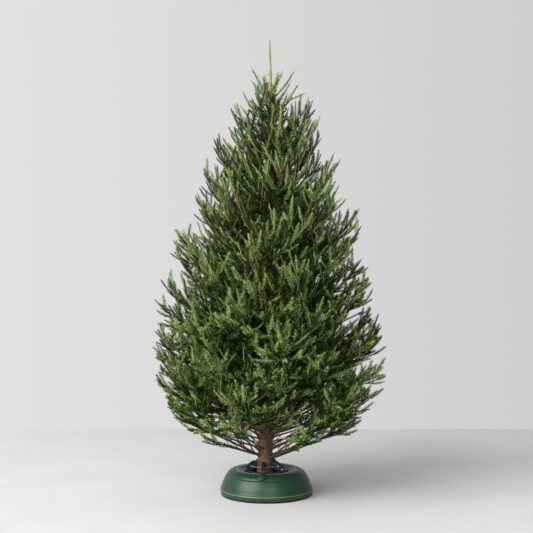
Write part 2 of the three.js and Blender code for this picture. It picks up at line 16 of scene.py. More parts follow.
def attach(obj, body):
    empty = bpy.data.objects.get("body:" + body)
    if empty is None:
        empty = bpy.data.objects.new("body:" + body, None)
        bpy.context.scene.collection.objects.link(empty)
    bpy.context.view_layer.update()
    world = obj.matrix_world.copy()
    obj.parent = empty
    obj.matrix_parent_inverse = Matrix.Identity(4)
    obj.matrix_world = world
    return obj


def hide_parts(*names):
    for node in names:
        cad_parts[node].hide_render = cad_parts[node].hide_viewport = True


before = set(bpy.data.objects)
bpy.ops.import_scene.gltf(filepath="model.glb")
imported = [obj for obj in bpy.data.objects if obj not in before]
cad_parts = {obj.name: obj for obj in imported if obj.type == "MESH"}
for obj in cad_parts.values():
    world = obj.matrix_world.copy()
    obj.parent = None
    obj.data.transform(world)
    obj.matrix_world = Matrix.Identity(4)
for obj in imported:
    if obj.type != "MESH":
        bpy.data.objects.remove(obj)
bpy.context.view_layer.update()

# %% [markdown]
# ## Camera, floor and light
# The tree is seen level, from just over five metres away, with the eye at half the tree's height. A
# long lens keeps the sides of the crown upright. The floor is a square whose far edge lies close behind
# the tree, so that the pale backdrop starts there from whichever side one looks. One broad light stands
# high on the left and in front, and the backdrop itself lights the shaded side.


# %% Camera
def add_camera(distance, height, lens):
    camera = bpy.data.objects.new("camera", bpy.data.cameras.new("camera"))
    camera.data.lens = lens
    camera.data.sensor_width = 36
    camera.data.clip_end = 50
    camera.location = (0, -distance, height)
    camera.rotation_euler = (math.pi / 2, 0, 0)
    bpy.context.scene.collection.objects.link(camera)
    bpy.context.scene.camera = camera
    print("camera:", lens, "mm lens,", distance, "m away,", height, "m high")


add_camera(distance=5.16, height=1.135, lens=69.7)


# %% Light
def add_softbox(name, place, target, size, power):
    light = bpy.data.lights.new(name, "AREA")
    light.shape = "SQUARE"
    light.size = size
    light.energy = power
    softbox = bpy.data.objects.new(name, light)
    softbox.location = place
    softbox.rotation_euler = (Vector(target) - Vector(place)).to_track_quat("-Z", "Y").to_euler()
    bpy.context.scene.collection.objects.link(softbox)
    print(name, size, "m wide at", place)


add_softbox("key_softbox", place=(-8.6, -7.3, 6.9), target=(0, 0, 0.9), size=11.0, power=2740)
add_softbox("fill_softbox", place=(1.0, -6.0, 3.0), target=(0, 0, 1.0), size=3.4, power=120)


# %% Helpers for shader nodes
def add_node(tree, kind, sockets=None, **settings):
    """A shader node with its settings, and with values on some sockets, by their name or number."""
    node = tree.nodes.new(f"ShaderNode{kind}")
    for setting, value in settings.items():
        setattr(node, setting, value)
    for socket, value in (sockets or {}).items():
        node.inputs[socket].default_value = value
    return node


def connect(tree, *wires):
    """Links sockets. Each wire is a node and its output, and the node and input that it leads to."""
    for source, output, target, socket in wires:
        tree.links.new(source.outputs[output], target.inputs[socket])


# %% Backdrop
SEEN = (0.76, 0.61)  # brightness of the backdrop at the left and right of the view,
SEEN_REACH = 0.26  # which lie this far to the side for one metre of sight
CAST = (0.68, 0.27)  # brightness of the light that comes from the far left and the far right


def pale_world():
    """A plain backdrop that is a little lighter on the left, where the daylight comes from."""
    world = bpy.data.worlds.new("pale_backdrop")
    bpy.context.scene.world = world
    world.use_nodes = True
    tree = world.node_tree
    background = tree.nodes["Background"]
    background.inputs["Color"].default_value = (1, 1, 0.995, 1)
    place = add_node(tree, "TexCoord")
    split = add_node(tree, "SeparateXYZ")
    path = add_node(tree, "LightPath")
    choose = add_node(tree, "Mix")
    for socket, reach, (left, right) in (("B", SEEN_REACH, SEEN), ("A", 1.0, CAST)):
        levels = {"From Min": -reach, "From Max": reach, "To Min": left, "To Max": right}
        level = add_node(tree, "MapRange", levels)
        connect(tree, (split, "X", level, "Value"), (level, "Result", choose, socket))
    connect(
        tree,
        (place, "Generated", split, 0),
        (path, "Is Camera Ray", choose, "Factor"),
        (choose, "Result", background, "Strength"),
    )


pale_world()
bpy.context.scene.view_settings.view_transform = "Standard"

# %% [markdown]
# ## Tools for finishes
# A finish on a real thing is never one flat colour. Two effects recur on the bark, the needles and the
# stand: patches that drift from one colour to another, and a fine unevenness of the surface that takes
# the edge off its gloss. Each is a shader group with named sockets, built once and placed in every
# material that needs it. All patterns read Object coordinates, so that they stay on the piece.


# %% Helper for shader groups
def new_group(name, inputs, outputs):
    """A shader group. An input with no value is a vector, and one with four values is a colour."""
    group = bpy.data.node_groups.new(name, "ShaderNodeTree")
    for socket, value in inputs.items():
        kind = "Vector" if value is None else "Float" if isinstance(value, float) else "Color"
        made = group.interface.new_socket(socket, in_out="INPUT", socket_type=f"NodeSocket{kind}")
        if value is not None:
            made.default_value = value
    for socket, kind in outputs.items():
        group.interface.new_socket(socket, in_out="OUTPUT", socket_type=f"NodeSocket{kind}")
    return group, group.nodes.new("NodeGroupInput"), group.nodes.new("NodeGroupOutput")


# %% Group: patches of two colours
def patches_group():
    group, start, end = new_group(
        "colour_patches",
        {"Vector": None, "Dark": (0, 0, 0, 1), "Light": (1, 1, 1, 1), "Scale": 20.0, "Sharpness": 0.3},
        {"Color": "Color", "Mask": "Float"},
    )
    cloud = add_node(group, "TexNoise", {"Detail": 5})
    low = add_node(group, "Math", {1: 0.5, 2: 0.0}, operation="MULTIPLY_ADD")
    high = add_node(group, "Math", {0: 1.0}, operation="SUBTRACT")
    mask = add_node(group, "MapRange")
    mix = add_node(group, "Mix", data_type="RGBA")
    connect(
        group,
        (start, "Vector", cloud, "Vector"),
        (start, "Scale", cloud, "Scale"),
        (start, "Sharpness", low, 0),
        (low, 0, high, 1),
        (cloud, "Fac", mask, "Value"),
        (low, 0, mask, "From Min"),
        (high, 0, mask, "From Max"),
        (mask, "Result", mix, "Factor"),
        (start, "Dark", mix, "A"),
        (start, "Light", mix, "B"),
        (mix, "Result", end, "Color"),
        (mask, "Result", end, "Mask"),
    )
    return group


# %% Group: fine unevenness of a surface
def grain_group():
    group, start, end = new_group(
        "fine_grain",
        {"Vector": None, "Scale": 900.0, "Height": 0.0002, "Roughness": 0.5, "Spread": 0.1},
        {"Normal": "Vector", "Roughness": "Float"},
    )
    grain = add_node(group, "TexNoise", {"Detail": 3})
    bump = add_node(group, "Bump", {"Strength": 1.0})
    vary = add_node(group, "Math", {1: 0.5}, operation="SUBTRACT")
    gloss = add_node(group, "Math", operation="MULTIPLY_ADD")
    connect(
        group,
        (start, "Vector", grain, "Vector"),
        (start, "Scale", grain, "Scale"),
        (grain, "Fac", bump, "Height"),
        (start, "Height", bump, "Distance"),
        (grain, "Fac", vary, 0),
        (vary, 0, gloss, 0),
        (start, "Spread", gloss, 1),
        (start, "Roughness", gloss, 2),
        (bump, "Normal", end, "Normal"),
        (gloss, 0, end, "Roughness"),
    )
    return group


PATCHES = patches_group()
GRAIN = grain_group()
print("shader groups:", [group.name for group in bpy.data.node_groups])


# %% A material with patches and grain
def finish_material(
    name, dark, light, patch, grain, rough,
    sharpness=0.5, height=0.0002, spread=0.2, metallic=0.0, specular=0.5,
):
    """Colour patches, fine grain and a varying gloss: the base of every finish here."""
    material = bpy.data.materials.new(name)
    material.use_nodes = True
    tree = material.node_tree
    shader = tree.nodes["Principled BSDF"]
    shader.inputs["Metallic"].default_value = metallic
    shader.inputs["Specular IOR Level"].default_value = specular
    place = add_node(tree, "TexCoord")
    two = {"Dark": (*dark, 1), "Light": (*light, 1), "Scale": patch, "Sharpness": sharpness}
    colours = add_node(tree, "Group", two, node_tree=PATCHES)
    fine = {"Scale": grain, "Height": height, "Roughness": rough, "Spread": spread}
    surface = add_node(tree, "Group", fine, node_tree=GRAIN)
    connect(
        tree,
        (place, "Object", colours, "Vector"),
        (place, "Object", surface, "Vector"),
        (colours, "Color", shader, "Base Color"),
        (surface, "Roughness", shader, "Roughness"),
        (surface, "Normal", shader, "Normal"),
    )
    return material


# %% [markdown]
# ## The floor
# A pale plastered floor, with faint clouds in its tone.

# %% Floor
FLOOR_REACH = 2.05


def add_floor():
    bm = bmesh.new()
    bmesh.ops.create_grid(bm, x_segments=1, y_segments=1, size=FLOOR_REACH)
    mesh = bpy.data.meshes.new("floor")
    bm.to_mesh(mesh)
    bm.free()
    floor = bpy.data.objects.new("floor", mesh)
    bpy.context.scene.collection.objects.link(floor)
    plaster = finish_material(
        "pale_plaster", (0.60, 0.60, 0.595), (0.68, 0.68, 0.675),
        patch=2.5, grain=60, rough=0.8, sharpness=0.35, height=0.0008, spread=0.1,
    )
    mesh.materials.append(plaster)
    print("floor:", 2 * FLOOR_REACH, "m square")


add_floor()

# %% [markdown]
# ## The form of the tree
# A spruce grows by a simple rule. Its trunk is one taper, its boughs leave it in tiers, and each bough
# reaches out to the outline of the crown: widest low down, drawn in below that, and a bowed cone above.
# The same seeded rule that shaped the plain model is written here again, in metres, so that the finer
# growth fills the same space. Chance is a formula of three whole numbers: it looks random and gives the
# same tree each time.

# %% Driving dimensions
TREE_TOP = 2.27
TRUNK_FOOT = 0.0123
TRUNK_RADIUS = 0.0395
TRUNK_TIP_RADIUS = 0.0024
TRUNK_TAPER_POWER = 0.92
BUTT_SWELL = 0.004
BUTT_SWELL_HEIGHT = 0.07
TRUNK_FOOT_X = -0.010
TRUNK_LEAN = 0.025
TRUNK_SWAY = 0.018
TRUNK_SWAY_POWER = 1.6
TRUNK_WAVE = 0.008

CROWN_RADIUS = 0.595
CROWN_WIDEST = 0.62
CROWN_TAPER = 1.69  # how far over the widest part the cone ends
CROWN_TAPER_POWER = 1.6
CROWN_SKIRT_POWER = 1.7

FIRST_TIER = 0.165
LAST_TIER = 1.69
TIER_POWER = 1.25
TIER_TURN = 2.4
LOWEST_TURN = 0.21
SPOKES = [5, 6, 5, 5, 5, 4, 4, 3]  # boughs in each tier, from the lowest one
RISE = [0.165, 0.245, 0.310, 0.345, 0.360, 0.355, 0.335, 0.280]  # of its tips over their base
BOUGH_RADIUS = 0.0085
BOUGH_TAPER = 0.78
BARE_SHARE = [0.5, 0.42]
TOP_WHORL = 1.955

UP = Vector((0, 0, 1))
FULL_TURN = 2 * math.pi
GOLDEN_TURN = math.pi * (3 - math.sqrt(5))


# %% Seeded chance
def chance(a, b, c):
    """A share from 0 to 1, always the same for the same three numbers. They may be arrays."""
    wave = np.sin(a * 12.9898 + b * 78.233 + c * 37.719 + 1.7) * 43758.5453
    return wave - np.floor(wave)


def spread(a, b, c, low, high):
    return low + (high - low) * chance(a, b, c)


# %% Trunk line, trunk girth and crown outline
def trunk_x(z):
    share = max(z, 0) / TREE_TOP
    return TRUNK_FOOT_X + TRUNK_LEAN * share + TRUNK_SWAY * math.sin(math.pi * share**TRUNK_SWAY_POWER)


def trunk_y(z):
    return TRUNK_WAVE * math.sin(FULL_TURN * z / TREE_TOP)


def trunk_point(z):
    return Vector((trunk_x(z), trunk_y(z), z))


def trunk_radius(z):
    taper = (1 - np.minimum(z, TREE_TOP) / TREE_TOP) ** TRUNK_TAPER_POWER
    swell = BUTT_SWELL * np.exp(-z / BUTT_SWELL_HEIGHT)
    return TRUNK_TIP_RADIUS + (TRUNK_RADIUS - TRUNK_TIP_RADIUS) * taper + swell


def crown_radius(z):
    if z < CROWN_WIDEST:
        return CROWN_RADIUS * (1 - min(1, 1 - z / CROWN_WIDEST) ** CROWN_SKIRT_POWER)
    up = min(1, (z - CROWN_WIDEST) / CROWN_TAPER)
    return CROWN_RADIUS * (1 - up**CROWN_TAPER_POWER)


def distance_out(point):
    return math.hypot(point.x - trunk_x(point.z), point.y - trunk_y(point.z))


# %% Boughs
# Each tier of the plain model has `SPOKES` boughs. Between them, and between the tiers, the real tree
# has lesser ones, so two more boughs rise beside each, part of the way up to the next tier.
LESSER_BOUGHS = 2
LESSER_TURN = 1.37  # how far round the next one stands, in spaces between two boughs
LESSER_REACH = 0.04  # how much shorter each may be,
LESSER_GIRTH = 0.2  # and how much thinner it is, as shares
WHORL_RISE = 0.14


def tier(level):
    """Base and tip height of a tier. The last one is the whorl at the top of the tree."""
    if level == len(SPOKES):
        return TOP_WHORL, TOP_WHORL + WHORL_RISE
    base = FIRST_TIER + (LAST_TIER - FIRST_TIER) * (level / (len(SPOKES) - 1)) ** TIER_POWER
    return base, base + RISE[level]


def bough_of(level, spoke, lesser=0):
    key = level * 10 + spoke + 100 * lesser
    step = FULL_TURN / SPOKES[level]
    lift = lesser / (LESSER_BOUGHS + 1)
    low, high = tier(level), tier(level + 1)
    base = low[0] + (high[0] - low[0]) * lift + spread(key, 0, 2, -0.008, 0.022)
    tip = low[1] + (high[1] - low[1]) * lift + spread(key, 0, 3, -0.022, 0.022)
    reach = crown_radius(tip) * spread(key, 0, 4, 0.93 - LESSER_REACH * lesser, 1)
    shift = lesser * LESSER_TURN + spread(key, 0, 1, -0.12, 0.12)
    return {
        "key": key,
        "level": level,
        "lesser": lesser,
        "base": base,
        "tip": tip,
        "reach": reach,
        "turn": (level * TIER_TURN if level else LOWEST_TURN) + (spoke + shift) * step,
        "bare": BARE_SHARE[level] if level < len(BARE_SHARE) else 0.0,
        "straightness": spread(key, 0, 5, 0.55, 1),
        "sway": spread(key, 0, 6, -0.016, 0.016),
        "radius": BOUGH_RADIUS * (0.42 + 0.58 * reach / CROWN_RADIUS) * (1 - LESSER_GIRTH * lesser),
    }


def bough_point(bough, share):
    out = Vector((math.cos(bough["turn"]), math.sin(bough["turn"]), 0))
    across = UP.cross(out)
    bend = bough["straightness"]
    lift = bend * share + (1 - bend) * share * share
    start = trunk_point(bough["base"])
    start.z = bough["base"] + (bough["tip"] - bough["base"]) * lift
    return start + out * bough["reach"] * share + across * bough["sway"] * math.sin(math.pi * share)


def bough_radius(bough, share):
    return bough["radius"] * (1 - BOUGH_TAPER * share)


places = [(level, spoke) for level, spokes in enumerate(SPOKES) for spoke in range(spokes)]
main_boughs = [bough_of(*place) for place in places]
lesser_boughs = [bough_of(*place, lesser) for lesser in range(1, LESSER_BOUGHS + 1) for place in places]
lesser_boughs = [bough for bough in lesser_boughs if bough["tip"] < TOP_WHORL + 0.03]
print(len(main_boughs), "main boughs and", len(lesser_boughs), "lesser ones")


# %% [markdown]
# ## Bark
# The bark of a young spruce is thin and scaly: small plates that curl at their edges, stretched a little
# along the stem, over broad swellings. The plates are real relief here, pressed into a fine mesh, because
# the trunk shows in side light under the crown. A limb starts as a cylinder from
# create_cone, its long edges are cut into rings, and each corner is then moved to the limb's own line
# and girth and pushed in or out by the relief. Near the foot, where the bark was rubbed off in handling,
# the orange-brown inner bark shows.


# %% Limbs
def piece_from(bm, name, material, smooth=True):
    """Turns a bmesh into a finished piece that rides on the tree."""
    bmesh.ops.recalc_face_normals(bm, faces=bm.faces)
    mesh = bpy.data.meshes.new(name)
    bm.to_mesh(mesh)
    bm.free()
    mesh.polygons.foreach_set("use_smooth", [smooth] * len(mesh.polygons))
    return add_piece(name, mesh, material)


def add_piece(name, mesh, material):
    mesh.materials.append(material)
    piece = bpy.data.objects.new(name, mesh)
    bpy.context.scene.collection.objects.link(piece)
    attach(piece, "root")
    return piece


PLATES = 95  # in a metre round the stem; along it they are longer
PLATE_STRETCH = 0.45
PLATE_DEPTH = 0.055  # as a share of the girth, as is the next
SWELLING_DEPTH = 0.05
SWELLINGS = 22


def bark_relief(point, girth):
    """Height of the bark over the smooth stem: curled plates, and broad swellings."""
    stretched = Vector((point.x, point.y, point.z * PLATE_STRETCH))
    near, far = noise.voronoi(stretched * PLATES)[0][:2]
    plates = min(1.0, (far - near) * 2.6)
    return girth * (PLATE_DEPTH * (plates - 0.6) + SWELLING_DEPTH * noise.noise(point * SWELLINGS))


def limb_mesh(line, radius_at, sides, shares, reference):
    """A round limb with bark. A cylinder's rings, one per share, move to their places on `line`."""
    bm = bmesh.new()
    bmesh.ops.create_cone(bm, cap_ends=True, segments=sides, radius1=1, radius2=1, depth=1)
    long_edges = [edge for edge in bm.edges if abs(edge.verts[0].co.z - edge.verts[1].co.z) > 0.5]
    bmesh.ops.subdivide_edges(bm, edges=long_edges, cuts=len(shares) - 2)
    rings = [ring_of(line, radius_at, share, reference) for share in shares]
    for corner in bm.verts:
        middle, side, back, girth = rings[round((corner.co.z + 0.5) * (len(shares) - 1))]
        way = side * corner.co.x + back * corner.co.y
        corner.co = middle + way * (girth + bark_relief(middle + way * girth, girth))
    return bm


def ring_of(line, radius_at, share, reference):
    """Middle, two directions across, and radius of a limb at a share of its length."""
    along = (line(share + 0.01) - line(share - 0.01)).normalized()
    side = reference.cross(along).normalized()
    return line(share), side, along.cross(side), radius_at(share)


# %% Colours that change with height
def height_fade(tree, start, end):
    """A mask that runs from 0 at one height to 1 at the other, in its output Result."""
    place = add_node(tree, "TexCoord")
    split = add_node(tree, "SeparateXYZ")
    fade = add_node(tree, "MapRange", {"From Min": start, "From Max": end})
    connect(tree, (place, "Object", split, 0), (split, "Z", fade, "Value"))
    return fade


def colour_over(material, mask, colour):
    """Lays a colour over a material's own one where the mask is 1."""
    tree = material.node_tree
    shader = tree.nodes["Principled BSDF"]
    below = shader.inputs["Base Color"].links[0].from_socket
    mix = add_node(tree, "Mix", data_type="RGBA")
    mix.inputs["B"].default_value = (*colour, 1)
    tree.links.new(below, mix.inputs["A"])
    connect(tree, (mask, "Result", mix, "Factor"), (mix, "Result", shader, "Base Color"))


# %% Bark material
NEW_GROWTH = (0.34, 0.27, 0.13)  # the leader's tan skin
NEW_GROWTH_HEIGHT = 1.86
INNER_BARK = (0.30, 0.105, 0.035)
PEEL_HEIGHT = 0.15


def bark_material(name, dark, light):
    return finish_material(
        name, dark, light, patch=70, grain=700, rough=0.88, sharpness=0.55, height=0.0012, spread=0.15
    )


def young_skin(material):
    """Blends bark into the smooth skin of new growth towards the top of the trunk."""
    fade = height_fade(material.node_tree, NEW_GROWTH_HEIGHT, NEW_GROWTH_HEIGHT + 0.18)
    colour_over(material, fade, NEW_GROWTH)


def peeled_foot(material):
    """Shows the inner bark near the foot, up to a ragged edge."""
    tree = material.node_tree
    fade = height_fade(tree, PEEL_HEIGHT + 0.05, PEEL_HEIGHT - 0.09)
    place = add_node(tree, "TexCoord")
    scrape = add_node(tree, "TexNoise", {"Scale": 24, "Detail": 4})
    both = add_node(tree, "Math", operation="MULTIPLY")
    edge = add_node(tree, "MapRange", {"From Min": 0.36, "From Max": 0.44})
    connect(
        tree,
        (place, "Object", scrape, "Vector"),
        (fade, "Result", both, 0),
        (scrape, "Fac", both, 1),
        (both, 0, edge, "Value"),
    )
    colour_over(material, edge, INNER_BARK)


TRUNK_BARK = bark_material("trunk_bark", (0.054, 0.029, 0.015), (0.225, 0.133, 0.074))
peeled_foot(TRUNK_BARK)
young_skin(TRUNK_BARK)
BOUGH_BARK = bark_material("bough_bark", (0.04, 0.024, 0.014), (0.125, 0.078, 0.048))


# %% Trunk
SHOWN_TO = 0.45  # the crown hides the trunk above this


def build_trunk():
    shown = np.linspace(TRUNK_FOOT, SHOWN_TO, 150)
    hidden = np.linspace(SHOWN_TO, TREE_TOP, 60)[1:]
    bm = limb_mesh(trunk_point, trunk_radius, 64, [*shown, *hidden], reference=Vector((0, 1, 0)))
    trunk = piece_from(bm, "trunk_with_bark", TRUNK_BARK)
    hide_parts("trunk")
    print("trunk:", len(trunk.data.polygons), "faces")


build_trunk()


# %% Boughs with bark
def bough_mesh(bough, sides, rings):
    shares = list(np.linspace(0.03, 0.97, rings))
    return limb_mesh(
        lambda share: bough_point(bough, share), lambda share: bough_radius(bough, share),
        sides, shares, reference=UP,
    )


def build_boughs():
    bare = [bough for bough in main_boughs if bough["bare"] > 0]
    for bough in bare:
        place = f"{bough['level'] + 1}_{bough['key'] % 10 + 1}"
        limb = piece_from(bough_mesh(bough, 12, 60), f"bough_bark_{place}", BOUGH_BARK)
        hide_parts(f"bough_{place}")
    joined = bmesh.new()
    for bough in main_boughs[len(bare) :] + lesser_boughs:
        limb = bough_mesh(bough, 7, 14)
        mesh = bpy.data.meshes.new("limb")
        limb.to_mesh(mesh)
        limb.free()
        joined.from_mesh(mesh)
        bpy.data.meshes.remove(mesh)
    limbs = piece_from(joined, "upper_boughs", BOUGH_BARK)
    print("bare boughs:", len(bare), " faces of the others:", len(limbs.data.polygons))


build_boughs()

# %% [markdown]
# ## Twigs and shoots
# A bough carries branchlets by turns to its left and right, and each branchlet carries shoots in the
# same way: the rule is used again at a smaller size. Low on the tree the shoots are short, lean outwards
# and rise only a little at their tips. Near the top they are longer, stand closer to the branchlet and
# turn upwards, which gives the crown its upright fingers. Each shoot is a curve of three points: root,
# bend and tip. One that would pass the outline of the crown is shortened, and left out if it still has
# no room.

# %% How growth changes with height
LOW = {"gap": 0.042, "length": 0.096, "away": 0.70, "upturn": 0.40, "branchlet": 0.024}
HIGH = {"gap": 0.062, "length": 0.140, "away": 0.60, "upturn": 1.15, "branchlet": 0.031}
CHANGE_FROM = 0.5  # the height where growth starts to change,
CHANGE_OVER = 1.3  # and how much further up it has changed
HABIT_POWER = 1.5  # over 1: the habit changes mostly near the top


def habit(key, height):
    """A value of the tree's habit at a height: between that of the lower and of the upper crown."""
    share = min(1.0, max(0.0, (height - CHANGE_FROM) / CHANGE_OVER)) ** HABIT_POWER
    return LOW[key] + (HIGH[key] - LOW[key]) * share


# %% Outline of the crown
# Shares that are added to the crown's radius, by height: all round, on the right and taken off on the
# left, and for single tips.
FULLER = {0.3: 0.03, 0.5: 0.02, 0.65: 0.0, 0.85: -0.03, 1.3: -0.01, 1.55: 0.12, 1.9: 0.12}
FULLER_RIGHT = {0.3: 0.08, 0.5: 0.07, 0.65: 0.045, 0.85: 0.0, 1.4: -0.02, 1.75: 0.06, 1.95: -0.04}
RAGGED = {0.3: 0.12, 0.5: 0.035, 0.85: 0.035, 1.1: 0.12, 1.9: 0.08}

UNDERSIDE = 0.38  # the crown starts this high at the trunk and in front,
UNDERSIDE_DROP = 0.60  # lower by this for each metre away from the trunk to the sides and back,
UNDERSIDE_RIGHT = 0.05  # and lower by this on the right


def from_table(table, value):
    """Reads a table between its steps. The value may be an array."""
    return np.interp(value, list(table), list(table.values()))


def outline_at(point):
    """Reach of the crown towards a point."""
    distance = max(distance_out(point), 1e-6)
    right = (point.x - trunk_x(point.z)) / distance
    more = from_table(FULLER, point.z) + from_table(FULLER_RIGHT, point.z) * right
    return crown_radius(point.z) * (1 + more)


def inside_crown(point, ragged=0.0):
    distance = distance_out(point)
    in_front = max(0, -point.y / max(distance, 1e-6)) ** 3
    lowest = UNDERSIDE - UNDERSIDE_DROP * distance * (1 - in_front)
    if point.x > trunk_x(point.z):
        lowest -= UNDERSIDE_RIGHT
    furthest = outline_at(point) * (1 + ragged * from_table(RAGGED, point.z))
    return point.z > lowest and trunk_radius(point.z) + 0.004 < distance < furthest


# %% Curves
TRIES = 9
SHORTENED = 0.9  # from one try to the next


def curve_from(root, direction, length, pull):
    """Root, bend and tip of a curve that starts along a direction and is then pulled from it."""
    bend = root + direction * length * 0.5
    return root, bend, bend + (direction + pull).normalized() * length * 0.5


def grow(root, direction, length, upturn, shortest, ragged=0.0):
    """A curve that turns up towards its tip, or None if it has no room in the crown."""
    for _ in range(TRIES):
        curve = curve_from(root, direction, length, UP * upturn)
        if inside_crown(curve[2], ragged) and inside_crown(curve[1]):
            return curve
        length *= SHORTENED
        if length < shortest:
            return None
    return None


def curve_point(curve, share):
    root, bend, tip = curve
    return root * (1 - share) ** 2 + bend * 2 * share * (1 - share) + tip * share * share


def curve_direction(curve, share):
    root, bend, tip = curve
    return ((bend - root) * (1 - share) + (tip - bend) * share).normalized()


def curve_length(curve):
    return (curve[1] - curve[0]).length + (curve[2] - curve[1]).length


def side_direction(along, side, away, lift):
    """A direction that leaves `along` to one side, by an angle `away`, and `lift` out of the flat."""
    across = UP.cross(along)
    across = across.normalized() if across.length > 0.05 else Vector((1, 0, 0))
    over = along.cross(across).normalized()
    flank = across * side * math.cos(lift) + over * math.sin(lift)
    return (along * math.cos(away) + flank * math.sin(away)).normalized()


# %% Branchlets of a bough
# For the boughs of each tier, and of the lesser ones above it:
LEAFLESS = [0.64, 0.46, 0.18, 0.14, 0.1, 0.1, 0.1, 0.1, 0.1]  # share of a bough with no branchlets
DROOP = [0.55, 0.12, 0, 0, 0, 0, 0, 0, 0]  # how much lower the branchlets hang, in radians
LAST_BRANCHLET = 0.97  # where on the bough it stands
BRANCHLET_LIFT = (-0.8, 1.15)  # how far out of the flat branchlets stand, in radians
BRANCHLET_AWAY = (0.75, 1.05)  # their angle from the bough at its root,
CLOSER_AT_TIP = 0.25  # and how much smaller it is at the bough's tip
ROOM_SHARE = 0.57  # a branchlet's length, as a share of the bough beyond it,
ROOM_MORE = 0.075  # and this much more
SHORTEST_BRANCHLET = 0.05
LEADING_FROM = 0.84  # the bough's own end grows on as one more branchlet, from here


def bough_direction(bough, share):
    return (bough_point(bough, share + 0.01) - bough_point(bough, share)).normalized()


def branchlets_of(bough):
    length = math.hypot(bough["reach"], bough["tip"] - bough["base"])
    row = bough["level"] + (bough["lesser"] > 0)
    start, droop = LEAFLESS[row], DROOP[row]
    count = int((LAST_BRANCHLET - start) * length / habit("branchlet", bough["tip"]))
    grown = []
    for i in range(count):
        key = bough["key"] * 50 + i
        share = start + (LAST_BRANCHLET - start) * (i + spread(key, 1, 1, 0.1, 0.9)) / count
        root = bough_point(bough, share)
        lift = spread(key, 1, 2, BRANCHLET_LIFT[0] - droop, BRANCHLET_LIFT[1] - droop)
        away = spread(key, 1, 3, *BRANCHLET_AWAY) - CLOSER_AT_TIP * share
        direction = side_direction(bough_direction(bough, share), -1 if i % 2 else 1, away, lift)
        room = (ROOM_SHARE * (1 - share) * length + ROOM_MORE) * spread(key, 1, 4, 0.8, 1.15)
        curve = grow(root, direction, room, habit("upturn", root.z), SHORTEST_BRANCHLET)
        if curve:
            grown.append((key, curve))
    root = bough_point(bough, LEADING_FROM)
    ahead = (bough_point(bough, 1) - root).normalized()
    room = 0.2 * length + 0.03
    curve = grow(root, ahead, room, habit("upturn", bough["tip"]), shortest=0.04, ragged=1.0)
    if curve:
        grown.append((bough["key"] * 50 + 49, curve))
    return grown


# %% Shoots of a branchlet
SPARSE_FROM = 1.80  # the crown thins out from here,
SPARSE_OVER = 0.19  # and has no more shoots this much further up
SHORTEST_SHOOT = 0.022
SHOOT_LIFT = (-0.6, 1.1)
SHORTER_AT_TIP = 0.45  # how much shorter shoots are at the branchlet's tip than at its root


def fullness(height):
    """The share of shoots that grow at a height."""
    return 1 - min(1, max(0, (height - SPARSE_FROM) / SPARSE_OVER))


def shoots_of(key, curve):
    height = curve[2].z
    count = int(curve_length(curve) / habit("gap", height))
    grown = []
    for i in range(1, count):
        share = (i + spread(key, i, 21, -0.3, 0.3)) / count
        away = habit("away", height) * spread(key, i, 22, 0.8, 1.2)
        lift = spread(key, i, 23, *SHOOT_LIFT)
        room = habit("length", height) * spread(key, i, 24, 0.7, 1.25) * (1.15 - SHORTER_AT_TIP * share)
        ragged = spread(key, i, 26, -1, 1)
        direction = side_direction(curve_direction(curve, share), -1 if i % 2 else 1, away, lift)
        root = curve_point(curve, share)
        shoot = grow(root, direction, room, habit("upturn", height), SHORTEST_SHOOT, ragged)
        if shoot and spread(key, i, 25, 0, 1) < fullness(shoot[2].z):
            grown.append(shoot)
    return grown


# %% A twig's forks
def forks_of(key, curve):
    """Two lesser twigs on a twig, one to each side."""
    grown = []
    for i, share in enumerate((0.45, 0.7)):
        along = curve_direction(curve, share)
        direction = side_direction(along, 1 if (key + i) % 2 else -1, 0.6, spread(key, i, 77, -0.3, 0.8))
        length = curve_length(curve) * spread(key, i, 78, 0.3, 0.5)
        grown.append(curve_from(curve_point(curve, share), direction, length, along * 0.3))
    return grown


# %% The highest whorl and the leader
TOP_WHORL_SPREAD = 0.062
TOP_SHOOTS = 8
LOWER_SHOOTS = 9
LEADER_SPRAYS = 2


def rising_shoot(root, turn, slope, length):
    """A shoot that leaves the leader at a slope and curves up towards its tip."""
    out = math.cos(slope)
    direction = Vector((math.cos(turn) * out, math.sin(turn) * out, math.sin(slope)))
    return curve_from(root, direction, length, UP * 1.2)


def top_shoots():
    """The highest whorl round the leader, a lesser one under it, and a few short shoots above."""
    grown = []
    for i in range(TOP_SHOOTS):
        root = trunk_point(spread(i, 3, 21, TOP_WHORL, TOP_WHORL + TOP_WHORL_SPREAD))
        turn = 0.5 + i * FULL_TURN / TOP_SHOOTS + spread(i, 4, 22, -0.2, 0.2)
        slope = spread(i, 5, 23, 0.75, 1.1) - 0.25
        grown.append(rising_shoot(root, turn, slope, spread(i, 6, 24, 0.13, 0.195)))
    for i in range(LOWER_SHOOTS):
        root = trunk_point(TOP_WHORL - spread(i, 3, 81, 0.0, 0.1))
        slope = spread(i, 5, 82, 0.3, 0.8)
        shoot = rising_shoot(root, i * GOLDEN_TURN, slope, spread(i, 6, 83, 0.15, 0.22))
        grown += [shoot, *forks_of(i, shoot)[: i % 2]]
    for i in range(LEADER_SPRAYS):
        root = trunk_point(TOP_WHORL + TOP_WHORL_SPREAD + 0.008 + i * 0.045)
        grown.append(rising_shoot(root, i * TIER_TURN, 1.1, 0.022))
    return grown


# %% Needles on the leader and on the boughs
def stretches(point_at, start, end):
    """Three curves in a row along a limb."""
    ends = np.linspace(start, end, 4)
    return [
        (point_at(low), point_at((low + high) / 2), point_at(high))
        for low, high in zip(ends[:-1], ends[1:])
    ]


def leader_parts():
    return stretches(trunk_point, TOP_WHORL - 0.02, TREE_TOP - 0.004)


